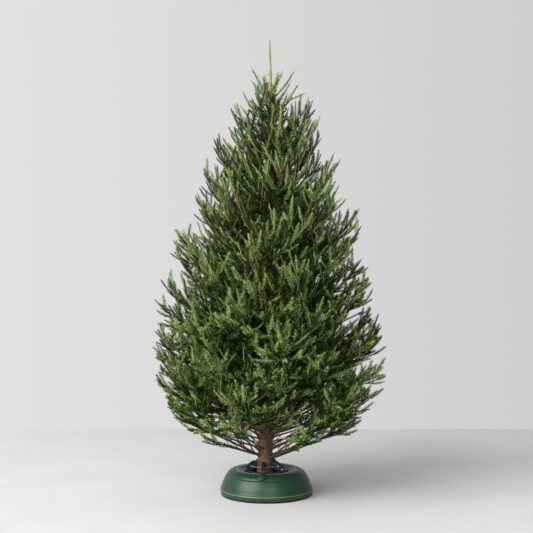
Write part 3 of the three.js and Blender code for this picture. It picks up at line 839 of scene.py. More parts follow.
def old_wood_of(bough):
    """The part of a bough that still carries old needles."""
    return stretches(lambda share: bough_point(bough, share), max(bough["bare"] + 0.05, 0.1), 0.86)


# %% Short shoots on the trunk
TRUNK_SHOOTS = 300
TRUNK_SHOOTS_FROM = 0.39


def from_trunk(i, height, turn, rise):
    """Where a twig leaves the trunk: its root, its way out and its direction."""
    out = Vector((math.cos(i * GOLDEN_TURN + turn), math.sin(i * GOLDEN_TURN + turn), 0))
    root = trunk_point(height) + out * trunk_radius(height) * 0.8
    return root, out, (out + UP * rise).normalized()


def trunk_shoots():
    """Weak shoots straight from the trunk, which fill the shade round it."""
    grown = []
    for i in range(TRUNK_SHOOTS):
        height = TRUNK_SHOOTS_FROM + (TOP_WHORL - TRUNK_SHOOTS_FROM) * (i + 0.5) / TRUNK_SHOOTS
        root, _, direction = from_trunk(i, height, 0, spread(i, 2, 61, 0.1, 0.9))
        length = crown_radius(height) * spread(i, 3, 62, 0.3, 0.6)
        grown.append(curve_from(root, direction, length, UP * 0.3))
    return grown


# %% Bare twigs at the foot
FOOT_TWIGS = 28  # from the trunk, between the lowest boughs
FOOT_TWIGS_FROM = 0.175
FOOT_TWIGS_TO = 0.40
BOUGH_TWIGS = 6  # on the bare stretch of each low bough


def foot_twigs():
    """Thin twigs that lost their needles in the shade under the crown, with their keys."""
    grown = []
    for i in range(FOOT_TWIGS):
        height = FOOT_TWIGS_FROM + (FOOT_TWIGS_TO - FOOT_TWIGS_FROM) * (i + 0.5) / FOOT_TWIGS
        root, out, direction = from_trunk(i, height, 0.6, spread(i, 2, 71, 0.25, 0.8))
        grown.append((i, curve_from(root, direction, spread(i, 3, 72, 0.16, 0.36), out * 0.3)))
    for bough in main_boughs:
        for i in range(BOUGH_TWIGS if bough["bare"] else 0):
            key = bough["key"] * 10 + i
            share = bough["bare"] * (0.25 + 0.75 * (i + spread(key, 1, 73, 0, 1)) / BOUGH_TWIGS)
            along = bough_direction(bough, share)
            lift = spread(key, 2, 74, 0.0, 0.9)
            direction = side_direction(along, 1 if i % 2 else -1, spread(key, 3, 75, 0.5, 0.9), lift)
            length = spread(key, 4, 76, 0.09, 0.19)
            grown.append((key, curve_from(bough_point(bough, share), direction, length, along * 0.4)))
    return grown


# %% Grow the crown
KINDS = ["shoot", "branchlet", "bough", "inner", "leader", "bare"]
SHOOT, BRANCHLET, BOUGH, INNER, LEADER, BARE = range(len(KINDS))


def grow_crown():
    """All the curves that carry needles, and the bare twigs: each with its kind and a key."""
    grown = []
    for bough in main_boughs + lesser_boughs:
        grown += [(curve, BOUGH, bough["key"]) for curve in old_wood_of(bough)]
        for key, branchlet in branchlets_of(bough):
            grown.append((branchlet, BRANCHLET, key))
            grown += [(shoot, SHOOT, key) for shoot in shoots_of(key, branchlet)]
    grown += [(curve, INNER, 80000 + i) for i, curve in enumerate(trunk_shoots())]
    grown += [(curve, SHOOT, 90000 + i) for i, curve in enumerate(top_shoots())]
    grown += [(curve, LEADER, 91000) for curve in leader_parts()]
    for key, curve in foot_twigs():
        grown += [(twig, BARE, 92000 + key) for twig in (curve, *forks_of(key, curve))]
    return (np.array(column) for column in zip(*grown))


curves, kinds, keys = grow_crown()
tips = curves[:, 2]
print({name: int((kinds == kind).sum()) for kind, name in enumerate(KINDS)})

# %% [markdown]
# ## Needles
# A spruce needle is a stiff little rod of 10 to 20 mm. There are fewer here than on a real tree, so they
# are a little longer and wider, most of all in the shade. Thousands of copies of one mesh would be lost
# when the model is exported, so all needles are worked out together, as arrays, and joined into a few
# large meshes. Each needle is a thin kite of two faces, folded along its spine so that it shows from any
# side. Along a shoot the needles stand in a spiral, each turned from the last by the golden angle, and
# lean towards the tip. Under the shoot they part, so the pale stem shows there, as on a real spruce.
#
# The colour of needles changes from shoot to shoot: older inner ones are dark, partly as old needles are
# and partly as painted shade, which is deeper low under the crown. The outermost are paler and greyer,
# and the palest of them is partly a painted sheen. Each shoot is therefore dealt to one of a few plain
# tints.
# Within a shoot, small tufts of needles take the next darker tint as painted shade, mostly underneath, or
# the next paler one as painted light, mostly on top.

# %% Facts about each curve
def crown_share(points):
    """How far out points lie: 0 at the trunk, 1 at the outline of the crown."""
    return np.array([distance_out(Vector(p)) / max(crown_radius(p[2]), 0.03) for p in points])


lengths = np.linalg.norm(curves[:, 1] - curves[:, 0], axis=1)
lengths += np.linalg.norm(curves[:, 2] - curves[:, 1], axis=1)
outer = crown_share(tips)
height_share = np.clip((tips[:, 2] - CHANGE_FROM) / CHANGE_OVER, 0, 1)
print("length in all:", round(float(lengths.sum()), 1), "m; outer curves:", int((outer > 0.75).sum()))

# %% Deal the tints
TINTS = {
    # The frosted tint is partly the grey wax of the needles and partly a painted sheen of light on them.
    "frosted": (0.500, 0.620, 0.310),
    "olive": (0.265, 0.420, 0.070),
    "fresh": (0.092, 0.225, 0.024),
    "deep": (0.021, 0.072, 0.007),
    # The shaded tint, near black, is painted shade for needles deep in the crown.
    "shaded": (0.007, 0.024, 0.002),
}
# Inner shoots mostly get the deep and shaded tints: old needles are darker, and the rest is painted
# shade.
OUTER_DEAL = [0.20, 0.31, 0.28, 0.21, 0.00]  # the share of outer shoots that each tint gets,
INNER_DEAL = [0.01, 0.06, 0.27, 0.36, 0.30]  # and of inner ones
YOUNG_FROM = 0.52  # the outer deal fades in from this share of the crown's radius,
YOUNG_FROM_TOP = 0.10  # from this much further out at the top of the crown,
YOUNG_OVER = 0.3  # and over this share
CONTRAST = 1.35  # over 1: more of the palest and darkest tints,
CONTRAST_TOP = 0.3  # and more so at the top of the crown
# Painted shade low down: shoots under the crown are dealt darker tints.
DARKER_FOOT = 0.22  # how much the deal moves towards the darker tints under the crown
PALER_TOP = 0.42  # how much the deal moves towards the paler tints at the top of the crown
LEADER_DRAW = 0.3  # gives the whole leader one tint


def deal_tints():
    """The number of a tint for each curve. Shoots of one branchlet mostly share theirs."""
    number = np.arange(len(curves))
    draw = 0.5 * chance(keys, 7, 31) + 0.5 * chance(number, 8, 32)
    draw = np.clip((draw - 0.5) * (CONTRAST + CONTRAST_TOP * height_share) + 0.5, 0, 0.9999)
    young = np.clip((outer - YOUNG_FROM - YOUNG_FROM_TOP * height_share**2) / YOUNG_OVER, 0, 1)
    young = np.where(kinds == BRANCHLET, young * 0.5, young)
    young = np.where((kinds == BOUGH) | (kinds == INNER), 0, young)
    young = np.where(kinds == LEADER, 1, young)
    # Moves the deal towards darker tints low down, as painted shade, and towards paler ones at the top.
    draw += DARKER_FOOT * np.clip((0.5 - tips[:, 2]) / 0.2, 0, 1) - PALER_TOP * height_share**2 * young
    draw = np.where(kinds == LEADER, LEADER_DRAW, np.clip(draw, 0, 0.9999))
    share = np.array(OUTER_DEAL) * young[:, None] + np.array(INNER_DEAL) * (1 - young[:, None])
    return (draw[:, None] > np.cumsum(share, axis=1)).sum(axis=1).clip(0, len(TINTS) - 1)


tint_of = deal_tints()
print({name: int((tint_of == i).sum()) for i, name in enumerate(TINTS)})

# %% Size and number of needles
NEEDLES = 440_000
LEAST_NEEDLES = 4  # on one curve
INNER_UP_TO = 0.62  # of the crown's radius
BRANCHLET_CLOSENESS = 0.85  # branchlets carry this share of the needles that shoots do

inner = (outer < INNER_UP_TO) | (kinds == BOUGH) | (kinds == INNER)


def by_growth(on_inner, on_outer, on_leader):
    """A value for each curve: one for inner growth, one for outer shoots and one for the leader."""
    return np.where(kinds == LEADER, on_leader, np.where(inner, on_inner, on_outer))


needle_length = by_growth(0.020, 0.0172 - 0.0012 * height_share, 0.010)
needle_width = by_growth(0.0066, 0.0034, 0.0028)
lean = by_growth(1.0, 1.06 - 0.1 * height_share, 0.3)  # away from the shoot, in radians
closeness = by_growth(0.45, 1.7, 1.3)  # how many needles a length carries, compared with others
closeness = np.where(kinds == BRANCHLET, closeness * BRANCHLET_CLOSENESS, closeness)
closeness = np.where(kinds == BARE, 0, closeness)
wish = lengths * closeness
counts = np.maximum(LEAST_NEEDLES, np.round(wish * NEEDLES / wish.sum())).astype(int)
counts[kinds == BARE] = 0
in_a_metre = float(counts.sum() / lengths.sum())
print("needles:", int(counts.sum()), " in a centimetre:", round(in_a_metre / 100, 1))


# %% Places on the curves
def norm(vectors):
    return vectors / np.maximum(np.linalg.norm(vectors, axis=-1, keepdims=True), 1e-9)


def curve_frame(rows, share):
    """Point, direction, upper side and flank of the curves at these rows, at a share of their length."""
    root, bend, tip = curves[rows, 0], curves[rows, 1], curves[rows, 2]
    share = share[:, None]
    point = root * (1 - share) ** 2 + bend * 2 * share * (1 - share) + tip * share**2
    along = norm((bend - root) * (1 - share) + (tip - bend) * share)
    upper = norm(np.array([0, 0, 1.0]) - along * along[:, 2:3])
    return point, along, upper, np.cross(along, upper)


# %% Needles as arrays
PARTING = 0.85  # half of the gap between the needles under a shoot, in radians,
PARTING_TOP = 0.3  # and how much more it is at the top of the crown
NEEDLED = (0.04, 0.9)  # where on a curve the needles start, and over how much of it they stand
WIDEST_AT = 0.38  # share of a needle's length
FOLD = 0.5  # how far a needle's edges drop below its spine, as a share of its width


def needle_turns(row, nth):
    """How far each needle is turned round its shoot: 0 is the upper side."""
    spiral = nth * GOLDEN_TURN / FULL_TURN + chance(row, 5, 42)
    parting = PARTING + PARTING_TOP * height_share[row] ** 2
    return (spiral - np.floor(spiral) - 0.5) * 2 * (math.pi - parting)


def needle_mesh(row, nth):
    """Corners and faces of needles, each the nth on the curve at its row."""
    share = (nth + 0.5 + 0.4 * (chance(row, nth, 41) - 0.5)) / counts[row]
    point, along, upper, flank = curve_frame(row, NEEDLED[0] + NEEDLED[1] * share)
    turn = needle_turns(row, nth)
    away = upper * np.cos(turn)[:, None] + flank * np.sin(turn)[:, None]
    point = point + away * np.where(kinds[row] == LEADER, trunk_radius(point[:, 2]), 0)[:, None]
    angle = lean[row] * (1 - 0.15 * share**3) * (0.8 + 0.4 * chance(row, nth, 43))
    direction = along * np.cos(angle)[:, None] + away * np.sin(angle)[:, None]
    length = needle_length[row] * (0.8 + 0.35 * chance(row, nth, 44)) * (1 - 0.4 * share**4)
    width = needle_width[row][:, None]
    flat = norm(np.cross(direction, away))
    drop = norm(np.cross(direction, flat)) * width * FOLD
    middle = point + direction * (length * WIDEST_AT)[:, None]
    edge = flat * width * 0.5
    tip = point + direction * length[:, None]
    corners = np.stack([point, middle + edge + drop, tip, middle - edge + drop], axis=1).reshape(-1, 3)
    first = np.arange(len(row))[:, None, None] * 4
    faces = (first + np.array([[0, 1, 2], [0, 2, 3]])[None]).reshape(-1, 3)
    return corners, faces


# %% A mesh from arrays
def mesh_from_arrays(name, corners, faces):
    mesh = bpy.data.meshes.new(name)
    mesh.vertices.add(len(corners))
    mesh.vertices.foreach_set("co", corners.astype(np.float32).ravel())
    mesh.loops.add(faces.size)
    mesh.loops.foreach_set("vertex_index", faces.astype(np.int32).ravel())
    mesh.polygons.add(len(faces))
    mesh.polygons.foreach_set("loop_start", np.arange(0, faces.size, faces.shape[1], dtype=np.int32))
    mesh.update(calc_edges=True)
    return mesh


# %% Needle material
def needle_material(name, colour):
    dark, light = ([share * channel for channel in colour] for share in (0.72, 1.25))
    return finish_material(
        name, dark, light, patch=110, grain=2500, rough=0.5, height=0.00005, specular=0.1
    )


# %% Tints within a shoot, with painted light and shade
TUFT_LENGTH = 0.006  # needles this close on a shoot, and on one side of it, share their light or shade
TUFT_TURN = 0.7  # in radians
TUFTED = 0.7  # the share of needles that do
TUFTS_ROUND = 9  # more than there are round a shoot, so that each tuft has its own number
# Painted shade and light: needles that face down mostly take darker tints, and those that face up paler
# ones.
DARKER = {-1: 0.9, 0.3: 0.6, 1: 0.28}  # the share that are darker, by how far they face up,
MUCH_DARKER = 0.5  # the part of that share that is darker by two tints,
PALER = {-1: 0.02, 0.3: 0.2, 1: 0.42}  # and the share that are paler


def needle_tints(row, nth):
    """The tint of each needle: its shoot's own, or the next darker one as painted shade, or the next
    paler one as painted light.
    """
    turn = needle_turns(row, nth)
    facing = np.cos(turn)
    tuft_along = np.floor(nth / counts[row] * lengths[row] / TUFT_LENGTH)
    tuft = tuft_along * TUFTS_ROUND + np.floor(turn / TUFT_TURN)
    draw = np.where(chance(row, nth, 46) < TUFTED, chance(row, tuft, 45), chance(row, nth, 47))
    shade = from_table(DARKER, facing)
    darker = (draw < shade).astype(int) + (draw < shade * MUCH_DARKER)
    paler = draw > 1 - from_table(PALER, facing)
    paler &= tint_of[row] < len(TINTS) - 1
    return np.clip(tint_of[row] + darker - paler, 0, len(TINTS) - 1)


# %% Build the needles
MOST_NEEDLES = 98_000  # in one piece: twice as many triangles


def build_needles():
    masses = [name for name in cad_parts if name.startswith("foliage")]
    row = np.repeat(np.arange(len(curves)), counts)
    nth = np.arange(counts.sum()) - np.repeat(np.cumsum(counts) - counts, counts)
    tint_of_needle = needle_tints(row, nth)
    for tint, (name, colour) in enumerate(TINTS.items()):
        material = needle_material(f"needles_{name}", colour)
        chosen = np.flatnonzero(tint_of_needle == tint)
        for part, some in enumerate(np.array_split(chosen, int(np.ceil(len(chosen) / MOST_NEEDLES)))):
            corners, faces = needle_mesh(row[some], nth[some])
            title = f"needles_{name}_{part + 1}"
            piece = add_piece(title, mesh_from_arrays(title, corners, faces), material)
            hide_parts(*masses)
            print(title, len(faces), "triangles")


build_needles()

# %% [markdown]
# ## Stems and buds
# Each shoot has a thin stem. On this year's growth it is smooth and tan, greener low on the tree, and it
# darkens to brown on the older branchlets. At the tip sits a bud with papery scales, pale orange-brown,
# which catches the light. Like the needles, all stems of one kind are worked out together and joined.

# %% Tubes along curves
def rings_round(upper, flank, sides):
    """For each point, the directions to the corners of a ring round it."""
    turns = np.arange(sides) * FULL_TURN / sides
    return upper[:, None] * np.cos(turns)[None, :, None] + flank[:, None] * np.sin(turns)[None, :, None]


def stem_mesh(rows, root_radius, tip_radius, sides, rings):
    """Thin tapering tubes along the curves at these rows."""
    share = np.tile(np.linspace(0, 1, rings), len(rows))
    row = np.repeat(rows, rings)
    point, _, upper, flank = curve_frame(row, share)
    radius = (root_radius[row] * (1 - share) + tip_radius[row] * share)[:, None, None]
    corners = (point[:, None] + rings_round(upper, flank, sides) * radius).reshape(-1, 3)
    side = np.arange(sides)
    band = np.stack([side, (side + 1) % sides, (side + 1) % sides + sides, side + sides], axis=1)
    bands = (np.arange(rings - 1)[:, None, None] * sides + band[None]).reshape(-1, 4)
    faces = (np.arange(len(rows))[:, None, None] * sides * rings + bands[None]).reshape(-1, 4)
    return corners, faces


# %% Stems
HIGH_SHARE = 0.5  # stems over this share of the crown's height are tan, and those under it greener


def by_stem(on_branchlet, on_bare, on_shoot):
    """A value for each curve: one for branchlets, one for bare twigs and one for shoots."""
    return np.where(kinds == BARE, on_bare, np.where(kinds == BRANCHLET, on_branchlet, on_shoot))


def stem_looks():
    """For each kind of stem: its curves, its two colours, and how many sides and rings it has."""
    tan = (kinds == SHOOT) & ~inner
    high = height_share > HIGH_SHARE
    older = ((kinds == SHOOT) | (kinds == INNER)) & ~tan
    return {
        "young_stems": (tan & high, (0.46, 0.34, 0.15), (0.68, 0.52, 0.27), 3, 3),
        "green_stems": (tan & ~high, (0.32, 0.27, 0.12), (0.54, 0.45, 0.22), 3, 3),
        "older_stems": (older, (0.04, 0.026, 0.012), (0.10, 0.065, 0.03), 3, 3),
        "branchlets": (kinds == BRANCHLET, (0.035, 0.022, 0.011), (0.10, 0.062, 0.03), 5, 5),
        "bare_twigs": (kinds == BARE, (0.04, 0.023, 0.013), (0.13, 0.075, 0.045), 6, 7),
    }


def build_stems():
    radius = by_stem(0.0017 + 0.005 * lengths, 0.0006 + 0.012 * lengths, 0.0020 + 0.0003 * height_share)
    tip_radius = by_stem(0.0009, 0.0016, 0.0016)
    for name, (chosen, dark, light, sides, rings) in stem_looks().items():
        corners, faces = stem_mesh(np.flatnonzero(chosen), radius, tip_radius, sides, rings)
        mesh = mesh_from_arrays(name, corners, faces)
        mesh.polygons.foreach_set("use_smooth", [True] * len(faces))
        material = finish_material(name, dark, light, patch=60, grain=1500, rough=0.7)
        piece = add_piece(name, mesh, material)
        print(name, len(faces) * 2, "triangles")


build_stems()


# %% Buds
BUD_LENGTH = 0.0075
BUD_RADIUS = 0.0024
BUD_SIDES = 4


def build_buds():
    """Each bud is two small pyramids, base to base, and larger towards the top of the tree."""
    rows = np.flatnonzero((kinds == SHOOT) & ~inner | (kinds == LEADER))
    point, along, upper, flank = curve_frame(rows, np.ones(len(rows)))
    size = (0.8 + 0.5 * chance(rows, 6, 51))[:, None]
    size = size * (0.8 + 0.4 * height_share[rows])[:, None]
    ring = rings_round(upper, flank, BUD_SIDES)
    waist = (point + along * BUD_LENGTH * 0.35 * size)[:, None] + ring * BUD_RADIUS * size[:, None]
    foot = (point - along * BUD_LENGTH * 0.2 * size)[:, None]
    head = (point + along * BUD_LENGTH * size)[:, None]
    corners = np.concatenate([foot, waist, head], axis=1).reshape(-1, 3)
    sides = [(1 + k, 1 + (k + 1) % BUD_SIDES) for k in range(BUD_SIDES)]
    bud = [[0, b, a] for a, b in sides] + [[BUD_SIDES + 1, a, b] for a, b in sides]
    faces = (np.arange(len(rows))[:, None, None] * (BUD_SIDES + 2) + np.array(bud)[None]).reshape(-1, 3)
    scales = finish_material(
        "bud_scales", (0.30, 0.17, 0.07), (0.54, 0.38, 0.18), patch=240, grain=1800, rough=0.6
    )
    buds = add_piece("buds", mesh_from_arrays("buds", corners, faces), scales)
    print("buds:", len(rows))


build_buds()

# %% [markdown]
# ## The stand
# The stand is a low round bowl of green plastic that holds water. Black claws on a ring in its mouth are
# drawn against the trunk by a steel cable, which a foot pedal tightens. Nearly all of it is round about
# the upright axis, so spin makes it: a profile of a few points, its corners rounded by a bevel, is turned
# through a full circle and closed on itself.

# %% Turned pieces
def round_off(bm, parts, by, segments, affect="EDGES"):
    """Rounds edges or corners by a bevel."""
    bmesh.ops.bevel(
        bm, geom=parts, offset=by, offset_type="OFFSET", segments=segments, profile=0.5,
        affect=affect, material=-1, clamp_overlap=True,
    )


def turned(profile, name, material, round_by, closed=True, steps=144):
    """A piece of revolution from pairs of radius and height. A closed profile makes a ring."""
    bm = bmesh.new()
    corners = [bm.verts.new((radius, 0, height)) for radius, height in profile]
    pairs = list(zip(corners, corners[1:]))
    if closed:
        pairs.append((corners[-1], corners[0]))
    for pair in pairs:
        bm.edges.new(pair)
    sharp = [corner for corner in corners if corner.co.x > 0.001 and len(corner.link_edges) == 2]
    round_off(bm, sharp, round_by, segments=3, affect="VERTICES")
    bmesh.ops.spin(
        bm, geom=[*bm.verts, *bm.edges], cent=(0, 0, 0), axis=(0, 0, 1), angle=FULL_TURN, steps=steps,
        use_merge=True,
    )
    bmesh.ops.remove_doubles(bm, verts=bm.verts, dist=1e-6)
    piece = piece_from(bm, name, material)
    print(name, len(piece.data.polygons), "faces")
    return piece


# %% [markdown]
# ### Plastics, rubber, paint and steel
# Moulded plastic is nearly one colour, so what makes it real is its surface: a very fine grain that
# softens the highlight, faint clouds in the gloss, and pale dust where it faces up. The dust is a third
# shader group. It needs only the direction of the surface and a noise.


# %% Group: dust on what faces up
def dust_group():
    group, start, end = new_group(
        "settled_dust",
        {
            "Vector": None, "Normal": None, "Clean": (0, 0, 0, 1), "Dust": (0.3, 0.29, 0.26, 1),
            "Amount": 0.3,
        },
        {"Color": "Color", "Mask": "Float"},
    )
    split = add_node(group, "SeparateXYZ")
    facing = add_node(group, "MapRange", {"From Min": 0.45})
    cloud = add_node(group, "TexNoise", {"Scale": 45, "Detail": 6})
    both = add_node(group, "Math", operation="MULTIPLY")
    amount = add_node(group, "Math", operation="MULTIPLY")
    mix = add_node(group, "Mix", data_type="RGBA")
    connect(
        group,
        (start, "Normal", split, 0),
        (split, "Z", facing, "Value"),
        (start, "Vector", cloud, "Vector"),
        (facing, "Result", both, 0),
        (cloud, "Fac", both, 1),
        (both, 0, amount, 0),
        (start, "Amount", amount, 1),
        (amount, 0, mix, "Factor"),
        (start, "Clean", mix, "A"),
        (start, "Dust", mix, "B"),
        (mix, "Result", end, "Color"),
        (amount, 0, end, "Mask"),
    )
    return group


DUST = dust_group()


def dusty_material(name, dark, light, amount, **finish):
    material = finish_material(name, dark, light, **finish)
    tree = material.node_tree
    shader = tree.nodes["Principled BSDF"]
    clean = shader.inputs["Base Color"].links[0].from_socket
    place = add_node(tree, "TexCoord")
    dust = add_node(tree, "Group", {"Amount": amount}, node_tree=DUST)
    tree.links.new(clean, dust.inputs["Clean"])
    connect(
        tree,
        (place, "Object", dust, "Vector"),
        (place, "Normal", dust, "Normal"),
        (dust, "Color", shader, "Base Color"),
    )
    return material


# %% The stand's materials
GREEN = dusty_material(
    "green_moulding", (0.0085, 0.036, 0.0195), (0.012, 0.049, 0.0265), amount=0.03,
    patch=9, grain=1300, rough=0.34, height=0.00006, spread=0.12, specular=0.36,
)
BLACK = dusty_material(
    "black_moulding", (0.005, 0.005, 0.006), (0.010, 0.010, 0.011), amount=0.04,
    patch=40, grain=1600, rough=0.45, sharpness=0.4, height=0.0001,
)
RUBBER = finish_material(
    "black_rubber", (0.007, 0.007, 0.007), (0.014, 0.014, 0.013),
    patch=60, grain=1800, rough=0.8, sharpness=0.4, spread=0.1,
)
GOLD = finish_material(
    "gold_paint", (0.27, 0.155, 0.045), (0.43, 0.27, 0.09),
    patch=160, grain=1500, rough=0.42, height=0.00005, metallic=0.2,
)
SILVER = finish_material(
    "pale_paint", (0.36, 0.40, 0.34), (0.52, 0.56, 0.49),
    patch=120, grain=1500, rough=0.42, height=0.00005,
)
STEEL = finish_material(
    "bare_steel", (0.34, 0.35, 0.36), (0.58, 0.59, 0.60),
    patch=300, grain=2500, rough=0.34, sharpness=0.4, height=0.00005, metallic=1.0,
)

# %% [markdown]
# ### The bowl
# The bowl's side leans in above its widest part, and ends in a crease under the shoulder. Three faint
# grooves run round it, and a thin gold line below them; a paler line runs round the top. The grooves are
# in the profile. The lines are paint, so each is a ring that stands proud of the plastic by a hair.

# %% The bowl's outline
BOWL_BASE_RADIUS = 0.220
MOUTH_RADIUS = 0.101
DECK_HEIGHT = 0.119
SHOULDER_RADIUS = 0.158
SHOULDER_HEIGHT = 0.126
WALL = 0.0045
CLEARANCE = 0.0003

WIDEST_SIDE = (0.2281, 0.0355)  # where the side starts to lean in
UPPER_SIDE = (0.2140, 0.0720)
GROOVES = (0.0415, 0.0465, 0.0515)
GROOVE_DEPTH = 0.0006
GROOVE_HALF = 0.0008


def side_radius(height):
    """Radius of the leaning side at a height."""
    share = (height - WIDEST_SIDE[1]) / (UPPER_SIDE[1] - WIDEST_SIDE[1])
    return WIDEST_SIDE[0] + (UPPER_SIDE[0] - WIDEST_SIDE[0]) * share


def grooved(height):
    return [
        (side_radius(height - GROOVE_HALF), height - GROOVE_HALF),
        (side_radius(height) - GROOVE_DEPTH, height),
        (side_radius(height + GROOVE_HALF), height + GROOVE_HALF),
    ]


BOWL_SIDE = [
    (BOWL_BASE_RADIUS, 0),
    (BOWL_BASE_RADIUS, 0.0045),
    (0.2262, 0.0064),
    (0.2292, 0.0110),
    (0.2309, 0.0195),
    WIDEST_SIDE,
    *[point for height in GROOVES for point in grooved(height)],
    UPPER_SIDE,
    (0.2025, 0.0955),
]
BOWL_DECK = [
    (0.1962, 0.1018),
    (0.1948, 0.1052),
    (0.1890, 0.1130),
    (0.1750, 0.1220),
    (SHOULDER_RADIUS, SHOULDER_HEIGHT),
    (0.140, SHOULDER_HEIGHT - 0.001),
    (0.118, DECK_HEIGHT + 0.0002),
    (MOUTH_RADIUS, DECK_HEIGHT),
]
BOWL_INSIDE = [
    (MOUTH_RADIUS, DECK_HEIGHT - 4 * WALL),
    (MOUTH_RADIUS + WALL, DECK_HEIGHT - 4 * WALL),
    (MOUTH_RADIUS + WALL, DECK_HEIGHT - WALL),
    (0.140, SHOULDER_HEIGHT - 0.001 - WALL),
    (SHOULDER_RADIUS, SHOULDER_HEIGHT - WALL),
    (0.184, 0.110),
    (0.209, 0.070),
    (0.223, 0.034),
    (0.222, 0.018),
    (0.212, 0.012),
    (0, 0.012),
]


# %% Bowl
BAND_TOP = 0.0041
BAND_WIDTH = (0.0058, 0.0068)  # at its foot and top


def build_bowl():
    profile = [(0, 0), *BOWL_SIDE, *BOWL_DECK, *BOWL_INSIDE]
    bowl = turned(profile, "stand_bowl_moulding", GREEN, round_by=0.0012, closed=False, steps=160)
    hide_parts("stand_bowl")
    start = BOWL_BASE_RADIUS + CLEARANCE + 0.0003
    foot, top = start + BAND_WIDTH[0], start + BAND_WIDTH[1]
    profile = [(start, 0), (foot, 0), (top, BAND_TOP), (start, BAND_TOP)]
    band = turned(profile, "foot_band_rubber", RUBBER, round_by=0.0006)
    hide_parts("stand_foot_band")


build_bowl()


# %% Painted lines
LINE_PROUD = 0.0002
GOLD_LINE = ((0.2296, 0.0277), (0.2293, 0.0301))  # radius of the bowl's side and height, at its edges
PALE_LINE = (0.1455, 0.1490)  # its inner and outer radius
SUNK = 0.0006  # how deep each ring starts in the plastic


def build_lines():
    (low_radius, low), (high_radius, high) = GOLD_LINE
    gold = [
        (low_radius - SUNK, low),
        (low_radius + LINE_PROUD, low),
        (high_radius + LINE_PROUD, high),
        (high_radius - SUNK, high),
    ]
    turned(gold, "gold_line", GOLD, round_by=0.0001)
    inner_edge, outer_edge = PALE_LINE
    top = SHOULDER_HEIGHT - 0.0005
    pale = [
        (inner_edge, top - 0.001),
        (inner_edge, top + LINE_PROUD),
        (outer_edge, top + LINE_PROUD + 0.0001),
        (outer_edge, top - 0.001),
    ]
    turned(pale, "deck_line", SILVER, round_by=0.0001)


build_lines()

# %% [markdown]
# ### Claw ring and claws
# The ring rests on the bowl's mouth. Each claw is a thick fin, drawn from the side and extruded to its
# width; its edges are bevelled, and both flanks are inset and sunk, as ribbed mouldings are. A pin runs
# through its foot, and a steel eyelet on each flank takes the cable.

# %% Claw ring
RING_INNER = 0.086
RING_OUTER = 0.110
RING_FOOT = DECK_HEIGHT + CLEARANCE
RING_TOP = RING_FOOT + 0.004
NECK_DEPTH = 0.031


def build_ring():
    neck = MOUTH_RADIUS - 0.0006
    profile = [
        (RING_INNER, RING_FOOT - NECK_DEPTH),
        (neck, RING_FOOT - NECK_DEPTH),
        (neck, RING_FOOT),
        (RING_OUTER, RING_FOOT),
        (RING_OUTER, RING_TOP - 0.0004),
        (RING_OUTER - 0.004, RING_TOP),
        (RING_OUTER - 0.007, RING_TOP),
        (RING_OUTER - 0.008, RING_TOP - 0.001),
        (RING_INNER + 0.004, RING_TOP - 0.001),
        (RING_INNER + 0.003, RING_TOP),
        (RING_INNER, RING_TOP),
    ]
    ring = turned(profile, "claw_ring_moulding", BLACK, round_by=0.0005)
    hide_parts("claw_ring")


build_ring()

# %% The claw's outline
CLAWS = 5
CLAW_WIDTH = 0.017
CLAW_TOP = 0.167
CLAW_HEEL = 0.064
CLAW_OUTER = 0.104
CLAW_STEP = FULL_TURN / CLAWS
CLAW_TURN = -math.pi / 2 - 0.105
CABLE_HEIGHT = 0.140
CABLE_REACH = 0.074
CLAW_AXIS = Vector((trunk_x(CABLE_HEIGHT), trunk_y(CABLE_HEIGHT), 0))


def bent(start, control, end, steps=7):
    """Points of a quadratic curve, without its first."""
    shares = [(i + 1) / steps for i in range(steps)]
    return [
        tuple(a * (1 - s) ** 2 + 2 * b * s * (1 - s) + c * s * s for a, b, c in zip(start, control, end))
        for s in shares
    ]


def claw_outline():
    """The claw from the side, as distance from the trunk's axis and height."""
    foot = RING_TOP + CLEARANCE
    grip = trunk_radius(CABLE_HEIGHT) + CLEARANCE
    back = (0.086, 0.147)
    crown = (0.052, CLAW_TOP)
    outline = [(CLAW_HEEL, foot), (CLAW_OUTER, foot)]
    outline += bent(outline[-1], (CLAW_OUTER - 0.003, 0.136), back)
    outline += bent(back, (0.070, CLAW_TOP), crown)
    outline += [(0.044, CLAW_TOP - 0.003), (grip, CLAW_TOP - 0.010), (grip, CLAW_TOP - 0.022)]
    return outline + bent(outline[-1], (0.052, 0.134), (CLAW_HEEL, foot))[:-1]


# %% Claws
FLANK_RIM = 0.0032
FLANK_SUNK = 0.0016


def turned_place(turn):
    """The move from the upright plane at y = 0 to a claw's own place round the trunk."""
    return Matrix.Translation(CLAW_AXIS) @ Matrix.Rotation(turn, 4, "Z")


def claw_mesh(turn):
    bm = bmesh.new()
    corners = [bm.verts.new((radius, -CLAW_WIDTH / 2, height)) for radius, height in claw_outline()]
    grown = bmesh.ops.extrude_face_region(bm, geom=[bm.faces.new(corners)])
    moved = [item for item in grown["geom"] if isinstance(item, bmesh.types.BMVert)]
    bmesh.ops.translate(bm, verts=moved, vec=(0, CLAW_WIDTH, 0))
    bmesh.ops.recalc_face_normals(bm, faces=bm.faces)
    flanks = [face for face in bm.faces if abs(face.normal.y) > 0.9]
    bmesh.ops.inset_region(
        bm, faces=flanks, thickness=FLANK_RIM, depth=-FLANK_SUNK, use_even_offset=True
    )
    round_off(bm, [edge for edge in bm.edges if edge.calc_face_angle(0) > 0.7], 0.0006, segments=2)
    bmesh.ops.transform(bm, matrix=turned_place(turn), verts=bm.verts)
    return bm


def build_claws():
    for number in range(CLAWS):
        bm = claw_mesh(CLAW_TURN + number * CLAW_STEP)
        claw = piece_from(bm, f"claw_moulding_{number + 1}", BLACK, smooth=False)
        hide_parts(f"claw_{number + 1}")
    print("faces of one claw:", len(claw.data.polygons))


build_claws()


